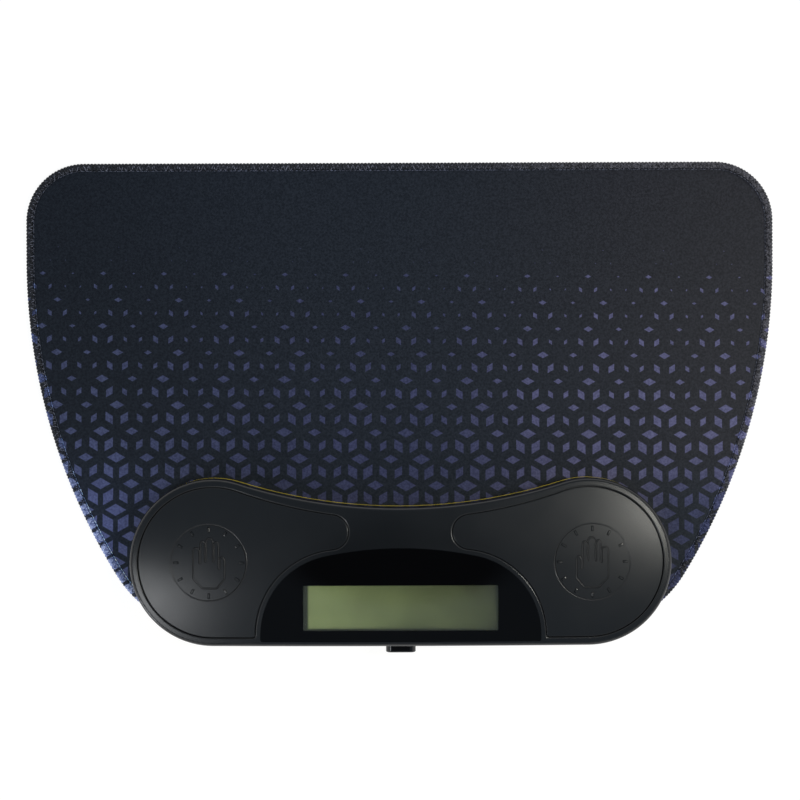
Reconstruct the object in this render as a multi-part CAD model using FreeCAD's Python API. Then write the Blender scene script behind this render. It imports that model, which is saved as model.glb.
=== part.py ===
import FreeCAD, Part
import math
import os

from FreeCAD import Vector

# A speed cube timer on its mat: two hand pads that arm the clock when both are pressed, a liquid
# crystal display between them, and a stitched cloth mat that the case snaps onto.
# Millimetres, +Z up. The mat lies on z = 0 and the user sits on the -Y side. The origin is the
# middle of the whole footprint, on the underside of the mat.

# Mat
mat_width = 405.0
mat_depth = 254.6
mat_back_corner_r = 31.5
mat_front_corner_r = 65.0
mat_side_r = 325.0
mat_widest_from_back = 53.0
rubber_thickness = 2.4
cloth_thickness = 0.6
stitch_width = 3.6
stitch_grip = 3.1
stitch_proud = 0.35
stitch_round = 1.1

# Snap studs through the mat, and the sockets in the case that drop onto them
stud_flange_r = 10.0
stud_flange_thickness = 1.2
stud_flange_lift = 0.05
stud_neck_r = 5.0
stud_head_r = 7.2
stud_head_height = 4.2
stud_groove = 0.8
stud_bevel = 1.0
stud_clearance = 0.15
socket_headroom = 0.6
socket_wall = 2.0

# Display window, which sets the plan of the case round it
panel_half_width = 74.8
panel_from_front = 2.5
panel_top_from_front = 52.4
panel_top_r = 195.0
panel_shoulder_r = 43.1
panel_corner_r = 1.2
window_thickness = 1.6
window_sunk = 0.15
window_clearance = 0.15
mask_thickness = 0.2
ledge_thickness = 1.9
ledge_width = 3.0

# Plan of the case: a straight front, two round lobes and a waist hollowed into the back
waist_band = 21.6
waist_hollow = 15.4
timer_overhang = 5.45

# Heights of the case above the mat, and its dome
foot_height = 1.0
parting_height = 8.0
cover_height = 16.0
seam_gap = 0.4
base_proud = 0.1
crown_length_r = 1500.0
crown_depth_r = 450.0
crown_tool_reach = 80.0
crown_tool_margin = 15.0

# Walls of the case
wall = 2.0
roof = 2.2
floor_thickness = 2.0
rim_round = 2.0
well_round = 0.5
base_round = 1.4
lip_height = 2.0
lip_thickness = 1.1
lip_clearance = 0.15

# Hand pads
rim_width = 4.7
ridge_width = 2.95
pad_front_run = 21.05
pad_gap = 0.4
pad_sunk = 0.45
pad_plate = 2.2
pad_skirt = 3.4
pad_skirt_wall = 2.4
pad_edge_round = 0.45
pad_corner_r = 1.6
pad_nose_r = 9.2
pad_nose_shift = 5.25
pad_neck_r = 260.0
pad_travel = 1.2
flange_reach = 0.9
flange_clearance = 0.35
flange_thickness = 1.2
dial_r = 20.9
dial_depth = 0.35
dial_shift = 2.0
leg_r = 3.0
leg_length = 1.9

# Contact domes and the sensor boards that carry them
dome_base_r = 4.0
dome_top_r = 2.4
dome_height = 3.0
dome_skin = 0.7
dome_inset = 6.0
sensor_board_length = 46.0
sensor_board_width = 40.0
sensor_board_corner = 6.0
sensor_screw_inset = 4.0
sensor_post_r = 2.6
board_thickness = 1.6

# Liquid crystal display
glass_side_margin = 21.3
glass_front_margin = 6.65
glass_back_margin = 18.1
glass_thickness = 1.6
view_margin_x = 1.5
view_margin_y = 1.7
view_corner_r = 0.6
reflector_thickness = 0.4
reflector_inset = 1.0
frame_wall = 1.6
frame_lip = 0.3
frame_lip_reach = 1.2
frame_clearance = 0.2
frame_corner_r = 1.2
opening_clearance = 0.5
display_clearance = 0.3
display_gap = 0.9
strip_width = 2.4
strip_inset = 0.6
strip_end_inset = 3.0

# Main board
board_corner_r = 2.0
board_post_r = 2.6
board_post_gap = 2.6
board_end = 4.0
back_post_inset = 2.5
front_post_inset = 2.0
board_bay_gap = 1.0
board_button_gap = 0.8
chip_r = 4.5
chip_height = 1.6
chip_x = 20.0
crystal_length = 6.4
crystal_r = 1.3
crystal_bevel = 0.3
crystal_x = 32.0

# Power button in the front of the case, and the switch behind it
button_width = 16.0
button_height = 6.4
button_proud = 3.95
button_round = 0.9
button_clearance = 0.25
button_travel = 1.0
button_flange = 1.2
button_flange_reach_x = 1.3
button_flange_reach_z = 0.7
button_flange_gap = 0.05
button_stem_r = 1.6
button_stem_length = 1.6
switch_gap = 0.2
switch_width = 6.4
switch_depth = 4.2
switch_height = 3.6
plunger_r = 1.1
plunger_clearance = 0.1
plunger_grip = 1.4
plunger_end_gap = 0.3

# Battery bay, its contacts and the screwed door
cell_r = 5.2
cell_length = 43.3
cell_bevel = 0.5
cell_nub_r = 1.9
cell_nub_length = 1.2
cell_clearance = 0.3
bay_wall = 1.3
bay_behind = 1.6
contact_thickness = 0.4
contact_width = 7.0
contact_height = 8.0
contact_room = 2.6
contact_play = 0.02
door_margin = 2.2
door_thickness = 1.3
door_sunk = 0.2
door_clearance = 0.2
door_tongue_width = 6.0
door_tongue_length = 2.0
door_tongue_thickness = 1.0
door_tab = 7.0
door_boss_height = 5.0
grip_count = 5
grip_pitch = 1.6
grip_width = 0.8
grip_length = 12.0
grip_depth = 0.4
grip_from_end = 3.0

# Screws and their bosses
boss_r = 3.5
boss_bite = 0.6
boss_angle = 42.0
boss_waist_x = 45.1
boss_panel_inset = 15.0
boss_clearance = 0.5
pilot_end = 0.8
screw_end = 0.6
case_screw_r = 1.3
case_head_r = 2.5
case_head_height = 1.6
small_screw_r = 0.9
small_head_r = 1.7
small_head_height = 1.0
small_screw_length = 5.0
board_screw_grip = 2.0
hole_clearance = 0.2
head_clearance = 0.3
thread_clearance = 0.05
head_bevel_share = 0.3
cross_length_share = 0.6
cross_width_share = 0.15
cross_depth_share = 0.5

# Feet, cables and wires
foot_r = 6.0
foot_recess = 0.7
foot_clearance = 0.1
foot_bevel = 0.4
back_foot_x = 12.0
back_foot_y = 21.5
front_foot_x = 6.0
front_foot_y = 24.5
ribbon_width = 8.0
ribbon_thickness = 0.4
ribbon_overlap = 4.0
ribbon_ahead = 5.0
ribbon_bend = 1.0
ribbon_rise_share = 0.15
wire_r = 0.6
wire_clearance = 0.15
wire_bend = 1.4
wire_spread = 7.6
wire_step = 2.4
wire_reach = 3.0
wire_landing = 3.0
wire_drop = 3.0

# How far cutting tools run past a face, and how far ribs and posts run into what carries them
past = 1.0
embed = 0.5

# How near two edges are to count as in one place, and how near an edge is to the dome to be on it
touch = 0.001
dome_touch = 0.02

# Plan positions that follow from the sizes above
overall_depth = mat_depth + timer_overhang + button_proud
mat_back_y = overall_depth / 2
mat_front_y = mat_back_y - mat_depth
front_y = mat_front_y - timer_overhang
panel_top_y = front_y + panel_top_from_front
panel_centre_y = panel_top_y - panel_top_r
shoulder_x = panel_half_width - panel_shoulder_r
shoulder_y = panel_centre_y + math.sqrt((panel_top_r - panel_shoulder_r) ** 2 - shoulder_x ** 2)
arch_x = -shoulder_x
arch_y = shoulder_y
arch_r = panel_shoulder_r + ridge_width
pad_corner_y = front_y + rim_width + pad_corner_r
pad_corner_x = arch_x - math.sqrt((arch_r + pad_corner_r) ** 2 - (pad_corner_y - arch_y) ** 2)
lobe_x = pad_front_run - pad_corner_x
lobe_r = (panel_top_from_front + waist_band + waist_hollow) / 2
lobe_y = front_y + lobe_r
waist_y = panel_top_y + waist_band
waist_rise = waist_y - lobe_y
waist_r = (lobe_x ** 2 + waist_rise ** 2 - lobe_r ** 2) / (2 * (lobe_r - waist_rise))
case_half_length = lobe_x + lobe_r
opening_wall = frame_wall + frame_clearance + opening_clearance
glass_x = panel_half_width - glass_side_margin
glass_front_y = front_y + glass_front_margin
glass_back_y = panel_top_y - glass_back_margin
view_y = (glass_front_y + glass_back_y) / 2
glass_half_y = (glass_back_y - glass_front_y) / 2
bay_x = cell_length / 2 + contact_room
bay_half_y = 2 * cell_r + cell_clearance
bay_y = waist_y - wall - bay_behind - bay_wall - bay_half_y
inner_y = front_y + wall
flange_y = inner_y + button_flange_gap
stem_y = flange_y + button_flange + button_stem_length
switch_y = stem_y + button_travel + switch_gap
board_front_y = flange_y + button_flange + button_travel + board_button_gap
board_back_y = bay_y - bay_half_y - bay_wall - board_bay_gap
board_post_x = glass_x + opening_wall + board_post_r + board_post_gap
board_x = board_post_x + board_end
dome_x = sensor_board_length / 2 - dome_inset
dome_y = sensor_board_width / 2 - dome_inset


def surface_height(x, y, sunk=0.0):
    """Height of the case's dome above a point of the plan, or of the dome lowered by sunk."""
    fall = crown_depth_r - math.sqrt(crown_depth_r ** 2 - (y - lobe_y) ** 2)
    return case_top - sunk - crown_length_r + math.sqrt((crown_length_r - fall) ** 2 - x ** 2)


def boss_places():
    """Screw positions, each just inside the outer wall of the case."""
    inward = wall + boss_r - boss_bite
    turn = math.radians(boss_angle)
    lobe_boss_x = lobe_x + (lobe_r - inward) * math.cos(turn)
    lobe_boss_rise = (lobe_r - inward) * math.sin(turn)
    waist_boss_y = waist_y + waist_r - math.sqrt((waist_r + inward) ** 2 - boss_waist_x ** 2)
    return both_sides([
        (lobe_boss_x, lobe_y + lobe_boss_rise),
        (lobe_boss_x, lobe_y - lobe_boss_rise),
        (boss_waist_x, waist_boss_y),
        (panel_half_width - boss_panel_inset, front_y + inward),
    ])


def both_sides(places):
    return [(side * x, y) for x, y in places for side in (1, -1)]


# Heights that follow. The display and the sensors hang below the dome of the cover.
mat_top = rubber_thickness + cloth_thickness
base_z = mat_top + foot_height
floor_z = base_z + floor_thickness
parting_z = mat_top + parting_height
case_top = parting_z + cover_height
high_z = 2 * case_top
low_z = -case_top
panel_seat = window_sunk + window_thickness + mask_thickness
flange_sunk = roof + flange_clearance
pad_depth = max(pad_sunk + pad_skirt, flange_sunk + flange_thickness)
leg_z = surface_height(lobe_x + dome_x, lobe_y + dome_y, pad_sunk + pad_plate) - leg_length
dome_z = leg_z - dome_height
sensor_z = dome_z - board_thickness
frame_top = surface_height(glass_x, glass_front_y - frame_wall, panel_seat) - display_clearance
glass_top = frame_top - frame_lip
glass_z = glass_top - glass_thickness
reflector_z = glass_z - reflector_thickness
board_top = reflector_z - display_gap
board_z = board_top - board_thickness
switch_z = board_z - switch_height / 2
boss_edge_x, boss_edge_y = (place + boss_r for place in boss_places()[0])
boss_top = surface_height(boss_edge_x, boss_edge_y, pad_depth) - pad_travel - boss_clearance
head_z = floor_z + case_head_height
socket_top = base_z + stud_head_height - foot_height + socket_headroom
cell_z = floor_z + cell_r + cell_clearance
bay_top = cell_z + cell_r + cell_clearance
door_z = base_z + door_sunk
door_top = door_z + door_thickness
door_head_z = door_z + small_head_height
door_x = bay_x + door_margin
door_half_y = bay_half_y + door_margin
door_screw_x = door_x + door_tab / 2
lead_z = board_z - wire_drop


def arc(centre, radius, start, end):
    """A circular arc between two angles in degrees."""
    points = []
    for angle in (start, (start + end) / 2, end):
        turn = math.radians(angle)
        points.append(Vector(centre[0] + radius * math.cos(turn), centre[1] + radius * math.sin(turn), 0))
    return Part.Arc(*points).toShape()


def angle_to(centre, point):
    """The direction from centre to point in degrees."""
    return math.degrees(math.atan2(point[1] - centre[1], point[0] - centre[0]))


def joined(arcs):
    """Closes a row of arcs into one wire, with a straight run wherever two ends lie apart."""
    chain = []
    for edge, following in zip(arcs, arcs[1:] + arcs[:1]):
        chain.append(edge)
        last = edge.valueAt(edge.LastParameter)
        first = following.valueAt(following.FirstParameter)
        if (last - first).Length > touch:
            chain.append(Part.makeLine(last, first))
    return Part.Wire(chain)


def prism(wire, bottom, top):
    """The solid between two heights with the wire as its outline."""
    face = Part.Face(wire)
    face.translate(Vector(0, 0, bottom))
    return face.extrude(Vector(0, 0, top - bottom))


def block(x_range, y_range, z_range):
    sizes = [high - low for low, high in (x_range, y_range, z_range)]
    return Part.makeBox(*sizes, Vector(x_range[0], y_range[0], z_range[0]))


def post(x, y, radius, bottom, top):
    return Part.makeCylinder(radius, top - bottom, Vector(x, y, bottom))


def posts(places, radius, bottom, top):
    return [post(x, y, radius, bottom, top) for x, y in places]


def mirrored(shape):
    return shape.mirror(Vector(0, 0, 0), Vector(1, 0, 0))


def united(shapes):
    return shapes[0].fuse(shapes[1:]).removeSplitter()


def rounded_box(x, y, half_x, half_y, corner, bottom, top):
    """A plate centred on x, y with its four upright corners rounded."""
    turns = [(1, 1, 0), (-1, 1, 90), (-1, -1, 180), (1, -1, 270)]
    arcs = [arc((x + sx * (half_x - corner), y + sy * (half_y - corner)), corner, start, start + 90)
            for sx, sy, start in turns]
    return prism(joined(arcs), bottom, top)


def case_outline(inset=0.0):
    """The plan of the case, drawn in by inset. The lobes run tangent into the front and the waist."""
    lobe, opposite, radius = (lobe_x, lobe_y), (-lobe_x, lobe_y), lobe_r - inset
    waist = (0, waist_y + waist_r)
    turn, start = angle_to(lobe, waist), angle_to(waist, lobe)
    return joined([
        arc(lobe, radius, -90, 0),
        arc(lobe, radius, 0, turn),
        arc(waist, waist_r + inset, start, -180 - start),
        arc(opposite, radius, 180 - turn, 180),
        arc(opposite, radius, 180, 270),
    ])


def circle_touching(first, first_reach, second, second_reach):
    """Centre of a circle behind two others, at a given distance from each of their centres."""
    gap = math.dist(first, second)
    along = (first_reach ** 2 - second_reach ** 2 + gap ** 2) / (2 * gap)
    away = math.sqrt(first_reach ** 2 - along ** 2)
    ux, uy = (second[0] - first[0]) / gap, (second[1] - first[1]) / gap
    return first[0] + ux * along - uy * away, first[1] + uy * along + ux * away


def pad_outline(grow=0.0):
    """The plan of the left hand pad: round over the lobe, a long neck beside the waist, a round
    nose, and a hollow arch that clears the display. Grow moves every side outward."""
    lobe, lobe_radius = (-lobe_x, lobe_y), lobe_r - rim_width
    arch, arch_radius = (arch_x, arch_y), arch_r - grow
    nose_y = arch_y + math.sqrt((arch_r + pad_nose_r) ** 2 - pad_nose_shift ** 2)
    nose, nose_radius = (arch_x - pad_nose_shift, nose_y), pad_nose_r + grow
    neck = circle_touching(lobe, pad_neck_r + lobe_radius, nose, pad_neck_r + pad_nose_r)
    corner_y = pad_corner_y - grow
    corner = (arch_x - math.sqrt((arch_radius + pad_corner_r) ** 2 - (corner_y - arch_y) ** 2), corner_y)
    lobe_turn, nose_turn = angle_to(lobe, neck), angle_to(nose, neck)
    arch_turn, corner_turn = angle_to(arch, nose), angle_to(corner, arch)
    return joined([
        arc(corner, pad_corner_r, -90, corner_turn),
        arc(arch, arch_radius, 180 + corner_turn, arch_turn),
        arc(nose, nose_radius, arch_turn - 180, 0),
        arc(nose, nose_radius, 0, nose_turn),
        arc(neck, pad_neck_r - grow, nose_turn - 180, lobe_turn - 180),
        arc(lobe, lobe_radius + grow, lobe_turn, 180),
        arc(lobe, lobe_radius + grow, 180, 270),
    ])


def panel_outline(grow=0.0):
    """The plan of the display window: straight front, round shoulders and a shallow arched top."""
    top = (0, panel_centre_y)
    turn = angle_to(top, (shoulder_x, shoulder_y))
    corner_x, corner_y = panel_half_width - panel_corner_r, front_y + panel_from_front + panel_corner_r
    return joined([
        arc((corner_x, corner_y), panel_corner_r + grow, -90, 0),
        arc((shoulder_x, shoulder_y), panel_shoulder_r + grow, 0, turn),
        arc(top, panel_top_r + grow, turn, 180 - turn),
        arc((-shoulder_x, shoulder_y), panel_shoulder_r + grow, 180 - turn, 180),
        arc((-corner_x, corner_y), panel_corner_r + grow, 180, 270),
    ])


def mat_outline(inset=0.0):
    """The plan of the mat: straight back, and sides that bow inward to round front corners."""
    side = (mat_width / 2 - mat_side_r, mat_back_y - mat_widest_from_back)
    back = (mat_width / 2 - mat_back_corner_r, mat_back_y - mat_back_corner_r)
    corner_y = mat_front_y + mat_front_corner_r
    run = math.sqrt((mat_side_r - mat_front_corner_r) ** 2 - (corner_y - side[1]) ** 2)
    front = (side[0] + run, corner_y)
    turn = angle_to(side, front)
    rounds = [
        (front, mat_front_corner_r, -90, turn),
        (side, mat_side_r, turn, 0),
        (back, mat_back_corner_r, 0, 90),
    ]
    right = [arc(centre, radius - inset, low, high) for centre, radius, low, high in rounds]
    left = [arc((-x, y), radius - inset, 180 - high, 180 - low)
            for (x, y), radius, low, high in reversed(rounds)]
    return joined(right + left)


def under_crown(sunk):
    """Everything below the case's dome, lowered by sunk. The dome is a slice of a large ring, so
    the case falls away gently to both lobes and to the front and back."""
    apex = case_top - sunk
    edge_z = apex - crown_depth_r + math.sqrt(crown_depth_r ** 2 - crown_tool_reach ** 2)
    front, back = lobe_y - crown_tool_reach, lobe_y + crown_tool_reach
    dome = Part.Arc(Vector(0, front, edge_z), Vector(0, lobe_y, apex), Vector(0, back, edge_z)).toShape()
    corners = [Vector(0, y, z)
               for y, z in ((back, edge_z), (back, low_z), (front, low_z), (front, edge_z))]
    sides = [Part.makeLine(start, end) for start, end in zip(corners, corners[1:])]
    face = Part.Face(Part.Wire([dome] + sides))
    axis_point, axis = Vector(0, 0, apex - crown_length_r), Vector(0, 1, 0)
    half_angle = math.degrees(math.asin((case_half_length + crown_tool_margin) / crown_length_r))
    face.rotate(axis_point, axis, -half_angle)
    return face.revolve(axis_point, axis, 2 * half_angle)


def crown_layer(wire, sunk, thickness):
    """A domed plate with the wire as its plan, its top lowered by sunk."""
    column = prism(wire, base_z, high_z)
    return column.common(under_crown(sunk)).cut(under_crown(sunk + thickness))


def stadium(half_width, half_height, y_from, y_to):
    """A bar with round ends, seen from the front, at the height of the power switch."""
    run = half_width - half_height
    wire = joined([arc((run, 0), half_height, -90, 90), arc((-run, 0), half_height, 90, 270)])
    bar = Part.Face(wire).extrude(Vector(0, 0, y_to - y_from))
    bar.rotate(Vector(0, 0, 0), Vector(1, 0, 0), 90)
    bar.translate(Vector(0, y_to, switch_z))
    return bar


def rod(radius, y_from, y_to):
    """A round bar along the depth of the case, in line with the power switch."""
    return Part.makeCylinder(radius, y_to - y_from, Vector(0, y_from, switch_z), Vector(0, 1, 0))


def level_edges(shape, z):
    """Edges that lie flat at one height."""
    return [e for e in shape.Edges if max(abs(e.BoundBox.ZMin - z), abs(e.BoundBox.ZMax - z)) < touch]


def end_edges(shape):
    """Edges that lie square to the length of the case."""
    return [edge for edge in shape.Edges if edge.BoundBox.XLength < touch]


def middle_of(edge):
    return edge.valueAt((edge.FirstParameter + edge.LastParameter) / 2)


def dome_edges(shape, sunk):
    """Edges that lie on the case's dome lowered by sunk."""
    found = []
    for edge in shape.Edges:
        span = edge.LastParameter - edge.FirstParameter
        spots = [edge.valueAt(edge.FirstParameter + share * span) for share in (0.1, 0.5, 0.9)]
        if all(abs(spot.z - surface_height(spot.x, spot.y, sunk)) < dome_touch for spot in spots):
            found.append(edge)
    return found


# Mat: a rubber base, the printed cloth bonded to it, and the thread bound round both edges

def mat_layer(bottom, top):
    holes = posts(both_sides([(lobe_x, lobe_y)]), stud_neck_r + stud_clearance, bottom - past, top + past)
    return prism(mat_outline(stitch_grip), bottom, top).cut(holes)


def mat_rubber_base():
    places = both_sides([(lobe_x, lobe_y)])
    recesses = posts(places, stud_flange_r + stud_clearance, -past, stud_flange_thickness)
    return mat_layer(0, rubber_thickness).cut(recesses)


def mat_edge_stitching():
    """Thread bound over the raw edge: a rounded bar that grips both layers."""
    top = mat_top + stitch_proud
    bar = prism(mat_outline(), 0, top)
    bar = bar.makeFillet(stitch_round, level_edges(bar, 0) + level_edges(bar, top))
    layers = prism(mat_outline(stitch_grip), -past, mat_top)
    inside = prism(mat_outline(stitch_width), mat_top - past, top + past)
    return bar.cut([layers, inside])


def mat_studs():
    """Turned profile of a snap stud: flange in the underside, neck through the mat, grooved head."""
    top = mat_top + stud_head_height
    profile = [
        (0, stud_flange_lift), (stud_flange_r, stud_flange_lift), (stud_flange_r, stud_flange_thickness),
        (stud_neck_r, stud_flange_thickness), (stud_neck_r, mat_top), (stud_head_r, mat_top),
        (stud_head_r - stud_groove, (mat_top + top) / 2), (stud_head_r, top - stud_bevel),
        (stud_head_r - stud_bevel, top), (0, top), (0, stud_flange_lift),
    ]
    section = Part.Face(Part.makePolygon([Vector(x, 0, z) for x, z in profile]))
    stud = section.revolve(Vector(0, 0, 0), Vector(0, 0, 1), 360)
    stud.translate(Vector(lobe_x, lobe_y, 0))
    return Part.makeCompound([stud, mirrored(stud)])


# Case: a tray and a cover that meet at a shadow gap, lined up by a lip

def foot_places():
    back = (lobe_x + back_foot_x, lobe_y + back_foot_y)
    front = (lobe_x + front_foot_x, lobe_y - front_foot_y)
    return both_sides([back, front])


def sensor_screw_places():
    """Three screws on the left sensor board, clear of the domes and of the cable on its inner side."""
    reach_x = sensor_board_length / 2 - sensor_screw_inset
    reach_y = sensor_board_width / 2 - sensor_screw_inset
    return [(-lobe_x - reach_x, lobe_y), (-lobe_x, lobe_y + reach_y), (-lobe_x, lobe_y - reach_y)]


def board_post_places():
    back = (board_post_x, glass_back_y - back_post_inset)
    front = (board_post_x, glass_front_y + front_post_inset)
    return both_sides([back, front])


def button_hole(y_to):
    half_width, half_height = button_width / 2 + button_clearance, button_height / 2 + button_clearance
    return stadium(half_width, half_height, front_y - base_proud - past, y_to)


def battery_bay(grow, bottom, top):
    half_x, half_y = bay_x + grow, bay_half_y + grow
    return block((-half_x, half_x), (bay_y - half_y, bay_y + half_y), (bottom, top))


def door_plate(grow, bottom, top):
    """The plan of the battery door with its screw tab."""
    half_x, half_y, half_tab = door_x + grow, door_half_y + grow, door_tab / 2 + grow
    plate = block((-half_x, half_x), (bay_y - half_y, bay_y + half_y), (bottom, top))
    bridge = block((door_x - past, door_screw_x), (bay_y - half_tab, bay_y + half_tab), (bottom, top))
    return united([plate, bridge, post(door_screw_x, bay_y, half_tab, bottom, top)])


def door_tongues(grow):
    """Two tongues on the far end of the door that hook over the floor."""
    half_width, low = door_tongue_width / 2 + grow, door_top - door_tongue_thickness
    x_range = (-door_x - door_tongue_length - grow, -door_x + past)
    return [block(x_range, (y - half_width, y + half_width), (low - grow, door_top + grow))
            for y in (bay_y - door_half_y / 2, bay_y + door_half_y / 2)]


def lead_places():
    return [bay_y + side * wire_spread for side in (1, -1)]


def lead_slots():
    """Holes through the end wall of the bay, one for each lead."""
    return [Part.makeCylinder(wire_r + wire_clearance, bay_wall + 2 * past, Vector(bay_x - past, y, lead_z),
                              Vector(1, 0, 0)) for y in lead_places()]


def lip_breaks():
    """Gaps in the lip for the cover's bosses and for the flange of the power button."""
    low = parting_z - seam_gap
    breaks = posts(boss_places(), boss_r + lip_clearance, low, high_z)
    reach = button_width / 2 + button_flange_reach_x + past
    low = min(low, switch_z - button_height / 2 - button_flange_reach_z - lip_clearance)
    return breaks + [block((-reach, reach), (inner_y - wall, board_front_y + wall), (low, high_z))]


def lower_casing():
    tray = prism(case_outline(-base_proud), base_z, parting_z - seam_gap)
    tray = tray.makeFillet(base_round, level_edges(tray, base_z))
    lip = prism(case_outline(wall - lip_thickness), floor_z, parting_z + lip_height)
    tray = united([tray, lip]).cut([prism(case_outline(wall), floor_z, high_z)] + lip_breaks())

    sockets = both_sides([(lobe_x, lobe_y)])
    sensor_posts = both_sides(sensor_screw_places())
    root_z = floor_z - embed
    solids = [tray, battery_bay(bay_wall, root_z, bay_top + bay_wall)]
    solids += posts(boss_places(), boss_r, root_z, parting_z)
    solids += posts(sockets, stud_head_r + stud_clearance + socket_wall, root_z, socket_top + socket_wall)
    solids += posts(sensor_posts, sensor_post_r, root_z, sensor_z)
    solids.append(post(door_screw_x, bay_y, boss_r, root_z, floor_z + door_boss_height))
    tray = united(solids)

    cuts = posts(boss_places(), case_screw_r + hole_clearance, base_z - past, parting_z + past)
    cuts += posts(boss_places(), case_head_r + head_clearance, base_z - past, head_z)
    cuts += posts(foot_places(), foot_r + foot_clearance, base_z - past, base_z + foot_recess)
    cuts += posts(sockets, stud_head_r + stud_clearance, base_z - past, socket_top)
    cuts += posts(sensor_posts, small_screw_r + thread_clearance, dome_z - small_screw_length,
                  sensor_z + past)
    cuts += [battery_bay(0, base_z - past, bay_top), door_plate(door_clearance, base_z - past, door_top)]
    cuts += door_tongues(door_clearance / 2) + lead_slots() + [button_hole(inner_y + wall)]
    door_pilot_top = floor_z + door_boss_height - embed
    cuts.append(post(door_screw_x, bay_y, small_screw_r + thread_clearance, door_z, door_pilot_top))
    return tray.cut(cuts)


def display_ledge():
    """The window's seat: a thick ledge under the roof that keeps clear of the pads' flanges."""
    sunk = roof - embed
    ledge = crown_layer(panel_outline(ledge_width), sunk, panel_seat + ledge_thickness - sunk)
    flange_space = prism(pad_outline(pad_gap + flange_reach + flange_clearance), parting_z, high_z)
    ledge = ledge.common(prism(case_outline(wall - embed), parting_z, high_z))
    return ledge.cut([flange_space, mirrored(flange_space)])


def well_edges(shell):
    """The upper edges of both pad wells."""
    well = prism(pad_outline(pad_gap), low_z, high_z)
    walls = [well.Shells[0], mirrored(well).Shells[0]]
    return [edge for edge in dome_edges(shell, 0)
            if min(Part.Vertex(middle_of(edge)).distToShape(side)[0] for side in walls) < touch]


def upper_casing():
    shell = prism(case_outline(), parting_z, high_z).common(under_crown(0))
    shell = shell.makeFillet(rim_round, dome_edges(shell, 0))
    inside = prism(case_outline(wall), parting_z - past, high_z).common(under_crown(roof))
    rebate_inset = wall - lip_thickness - lip_clearance
    rebate = prism(case_outline(rebate_inset), parting_z - past, parting_z + lip_height + lip_clearance)
    shell = shell.cut([inside, rebate])

    board_posts = [column.common(under_crown(panel_seat + embed))
                   for column in posts(board_post_places(), board_post_r, board_top, high_z)]
    bosses = [boss.common(prism(case_outline(rebate_inset), parting_z, high_z))
              for boss in posts(boss_places(), boss_r, parting_z, boss_top)]
    shell = united([shell, display_ledge()] + board_posts + bosses)

    well = prism(pad_outline(pad_gap), boss_top + embed, high_z)
    recess = prism(panel_outline(window_clearance), parting_z, high_z).cut(under_crown(panel_seat))
    opening = rounded_box(0, view_y, glass_x + opening_wall, glass_half_y + opening_wall, frame_corner_r,
                          boss_top + embed, high_z)
    shell = shell.cut([well, mirrored(well), recess, opening])
    shell = shell.makeFillet(well_round, well_edges(shell))
    cuts = posts(boss_places(), case_screw_r + thread_clearance, parting_z - past, boss_top - pilot_end)
    cuts += posts(board_post_places(), small_screw_r + thread_clearance, board_top - past,
                  board_top + board_screw_grip + embed)
    return shell.cut(cuts + [button_hole(inner_y + embed)])


# Hand pads: a domed plate with a skirt, a flange that holds it under the cover, and four legs

def leg_places():
    return [(-lobe_x + sx * dome_x, lobe_y + sy * dome_y) for sx in (1, -1) for sy in (1, -1)]


def left_hand_pad():
    plate = crown_layer(pad_outline(), pad_sunk, pad_skirt)
    plate = plate.makeFillet(pad_edge_round, dome_edges(plate, pad_sunk))
    flange = crown_layer(pad_outline(pad_gap + flange_reach), flange_sunk, flange_thickness)
    hollow = prism(pad_outline(-pad_skirt_wall), base_z, high_z).common(under_crown(pad_sunk + pad_plate))
    legs = [leg.common(under_crown(pad_sunk + pad_plate - embed))
            for leg in posts(leg_places(), leg_r, leg_z, high_z)]
    pad = united([plate.fuse(flange).cut(hollow)] + legs)
    dial = post(-lobe_x - dial_shift, lobe_y, dial_r, base_z, high_z).cut(under_crown(pad_sunk + dial_depth))
    return pad.cut(dial)


def left_contact_domes():
    """Hollow silicone cones that give under the legs of the pad."""
    domes = []
    for x, y in leg_places():
        outer = Part.makeCone(dome_base_r, dome_top_r, dome_height, Vector(x, y, dome_z))
        inner = Part.makeCone(dome_base_r - dome_skin, dome_top_r - dome_skin, dome_height - dome_skin,
                              Vector(x, y, dome_z))
        domes.append(outer.cut(inner))
    return Part.makeCompound(domes)


def left_sensor_board():
    board = rounded_box(-lobe_x, lobe_y, sensor_board_length / 2, sensor_board_width / 2, sensor_board_corner,
                        sensor_z, dome_z)
    return board.cut(posts(sensor_screw_places(), small_screw_r + hole_clearance, sensor_z - past,
                           dome_z + past))


def screw(x, y, seat_z, tip_z, head_r, head_height, shank_r):
    """A pan-head screw with a cross recess. Its head rests at seat_z and its shank ends at tip_z."""
    face_z = seat_z - head_height if tip_z > seat_z else seat_z + head_height
    head = post(x, y, head_r, min(face_z, seat_z), max(face_z, seat_z))
    head = head.makeChamfer(head_height * head_bevel_share, level_edges(head, face_z))
    shank = post(x, y, shank_r, min(seat_z, tip_z), max(seat_z, tip_z))
    length, width = head_r * cross_length_share, head_r * cross_width_share
    depth = head_height * cross_depth_share
    z_range = (face_z - depth, face_z + depth)
    cross = [block((x - length, x + length), (y - width, y + width), z_range),
             block((x - width, x + width), (y - length, y + length), z_range)]
    return united([head, shank]).cut(cross)


def screws(places, seat_z, tip_z, head_r, head_height, shank_r):
    return Part.makeCompound([screw(x, y, seat_z, tip_z, head_r, head_height, shank_r) for x, y in places])


def casing_screws():
    tip_z = boss_top - pilot_end - screw_end
    return screws(boss_places(), head_z, tip_z, case_head_r, case_head_height, case_screw_r)


def board_screws():
    tip_z = board_top + board_screw_grip
    return screws(board_post_places(), board_z, tip_z, small_head_r, small_head_height, small_screw_r)


def sensor_board_screws():
    tip_z, places = dome_z - small_screw_length, both_sides(sensor_screw_places())
    return screws(places, dome_z, tip_z, small_head_r, small_head_height, small_screw_r)


# Display, from the window down to the board

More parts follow.
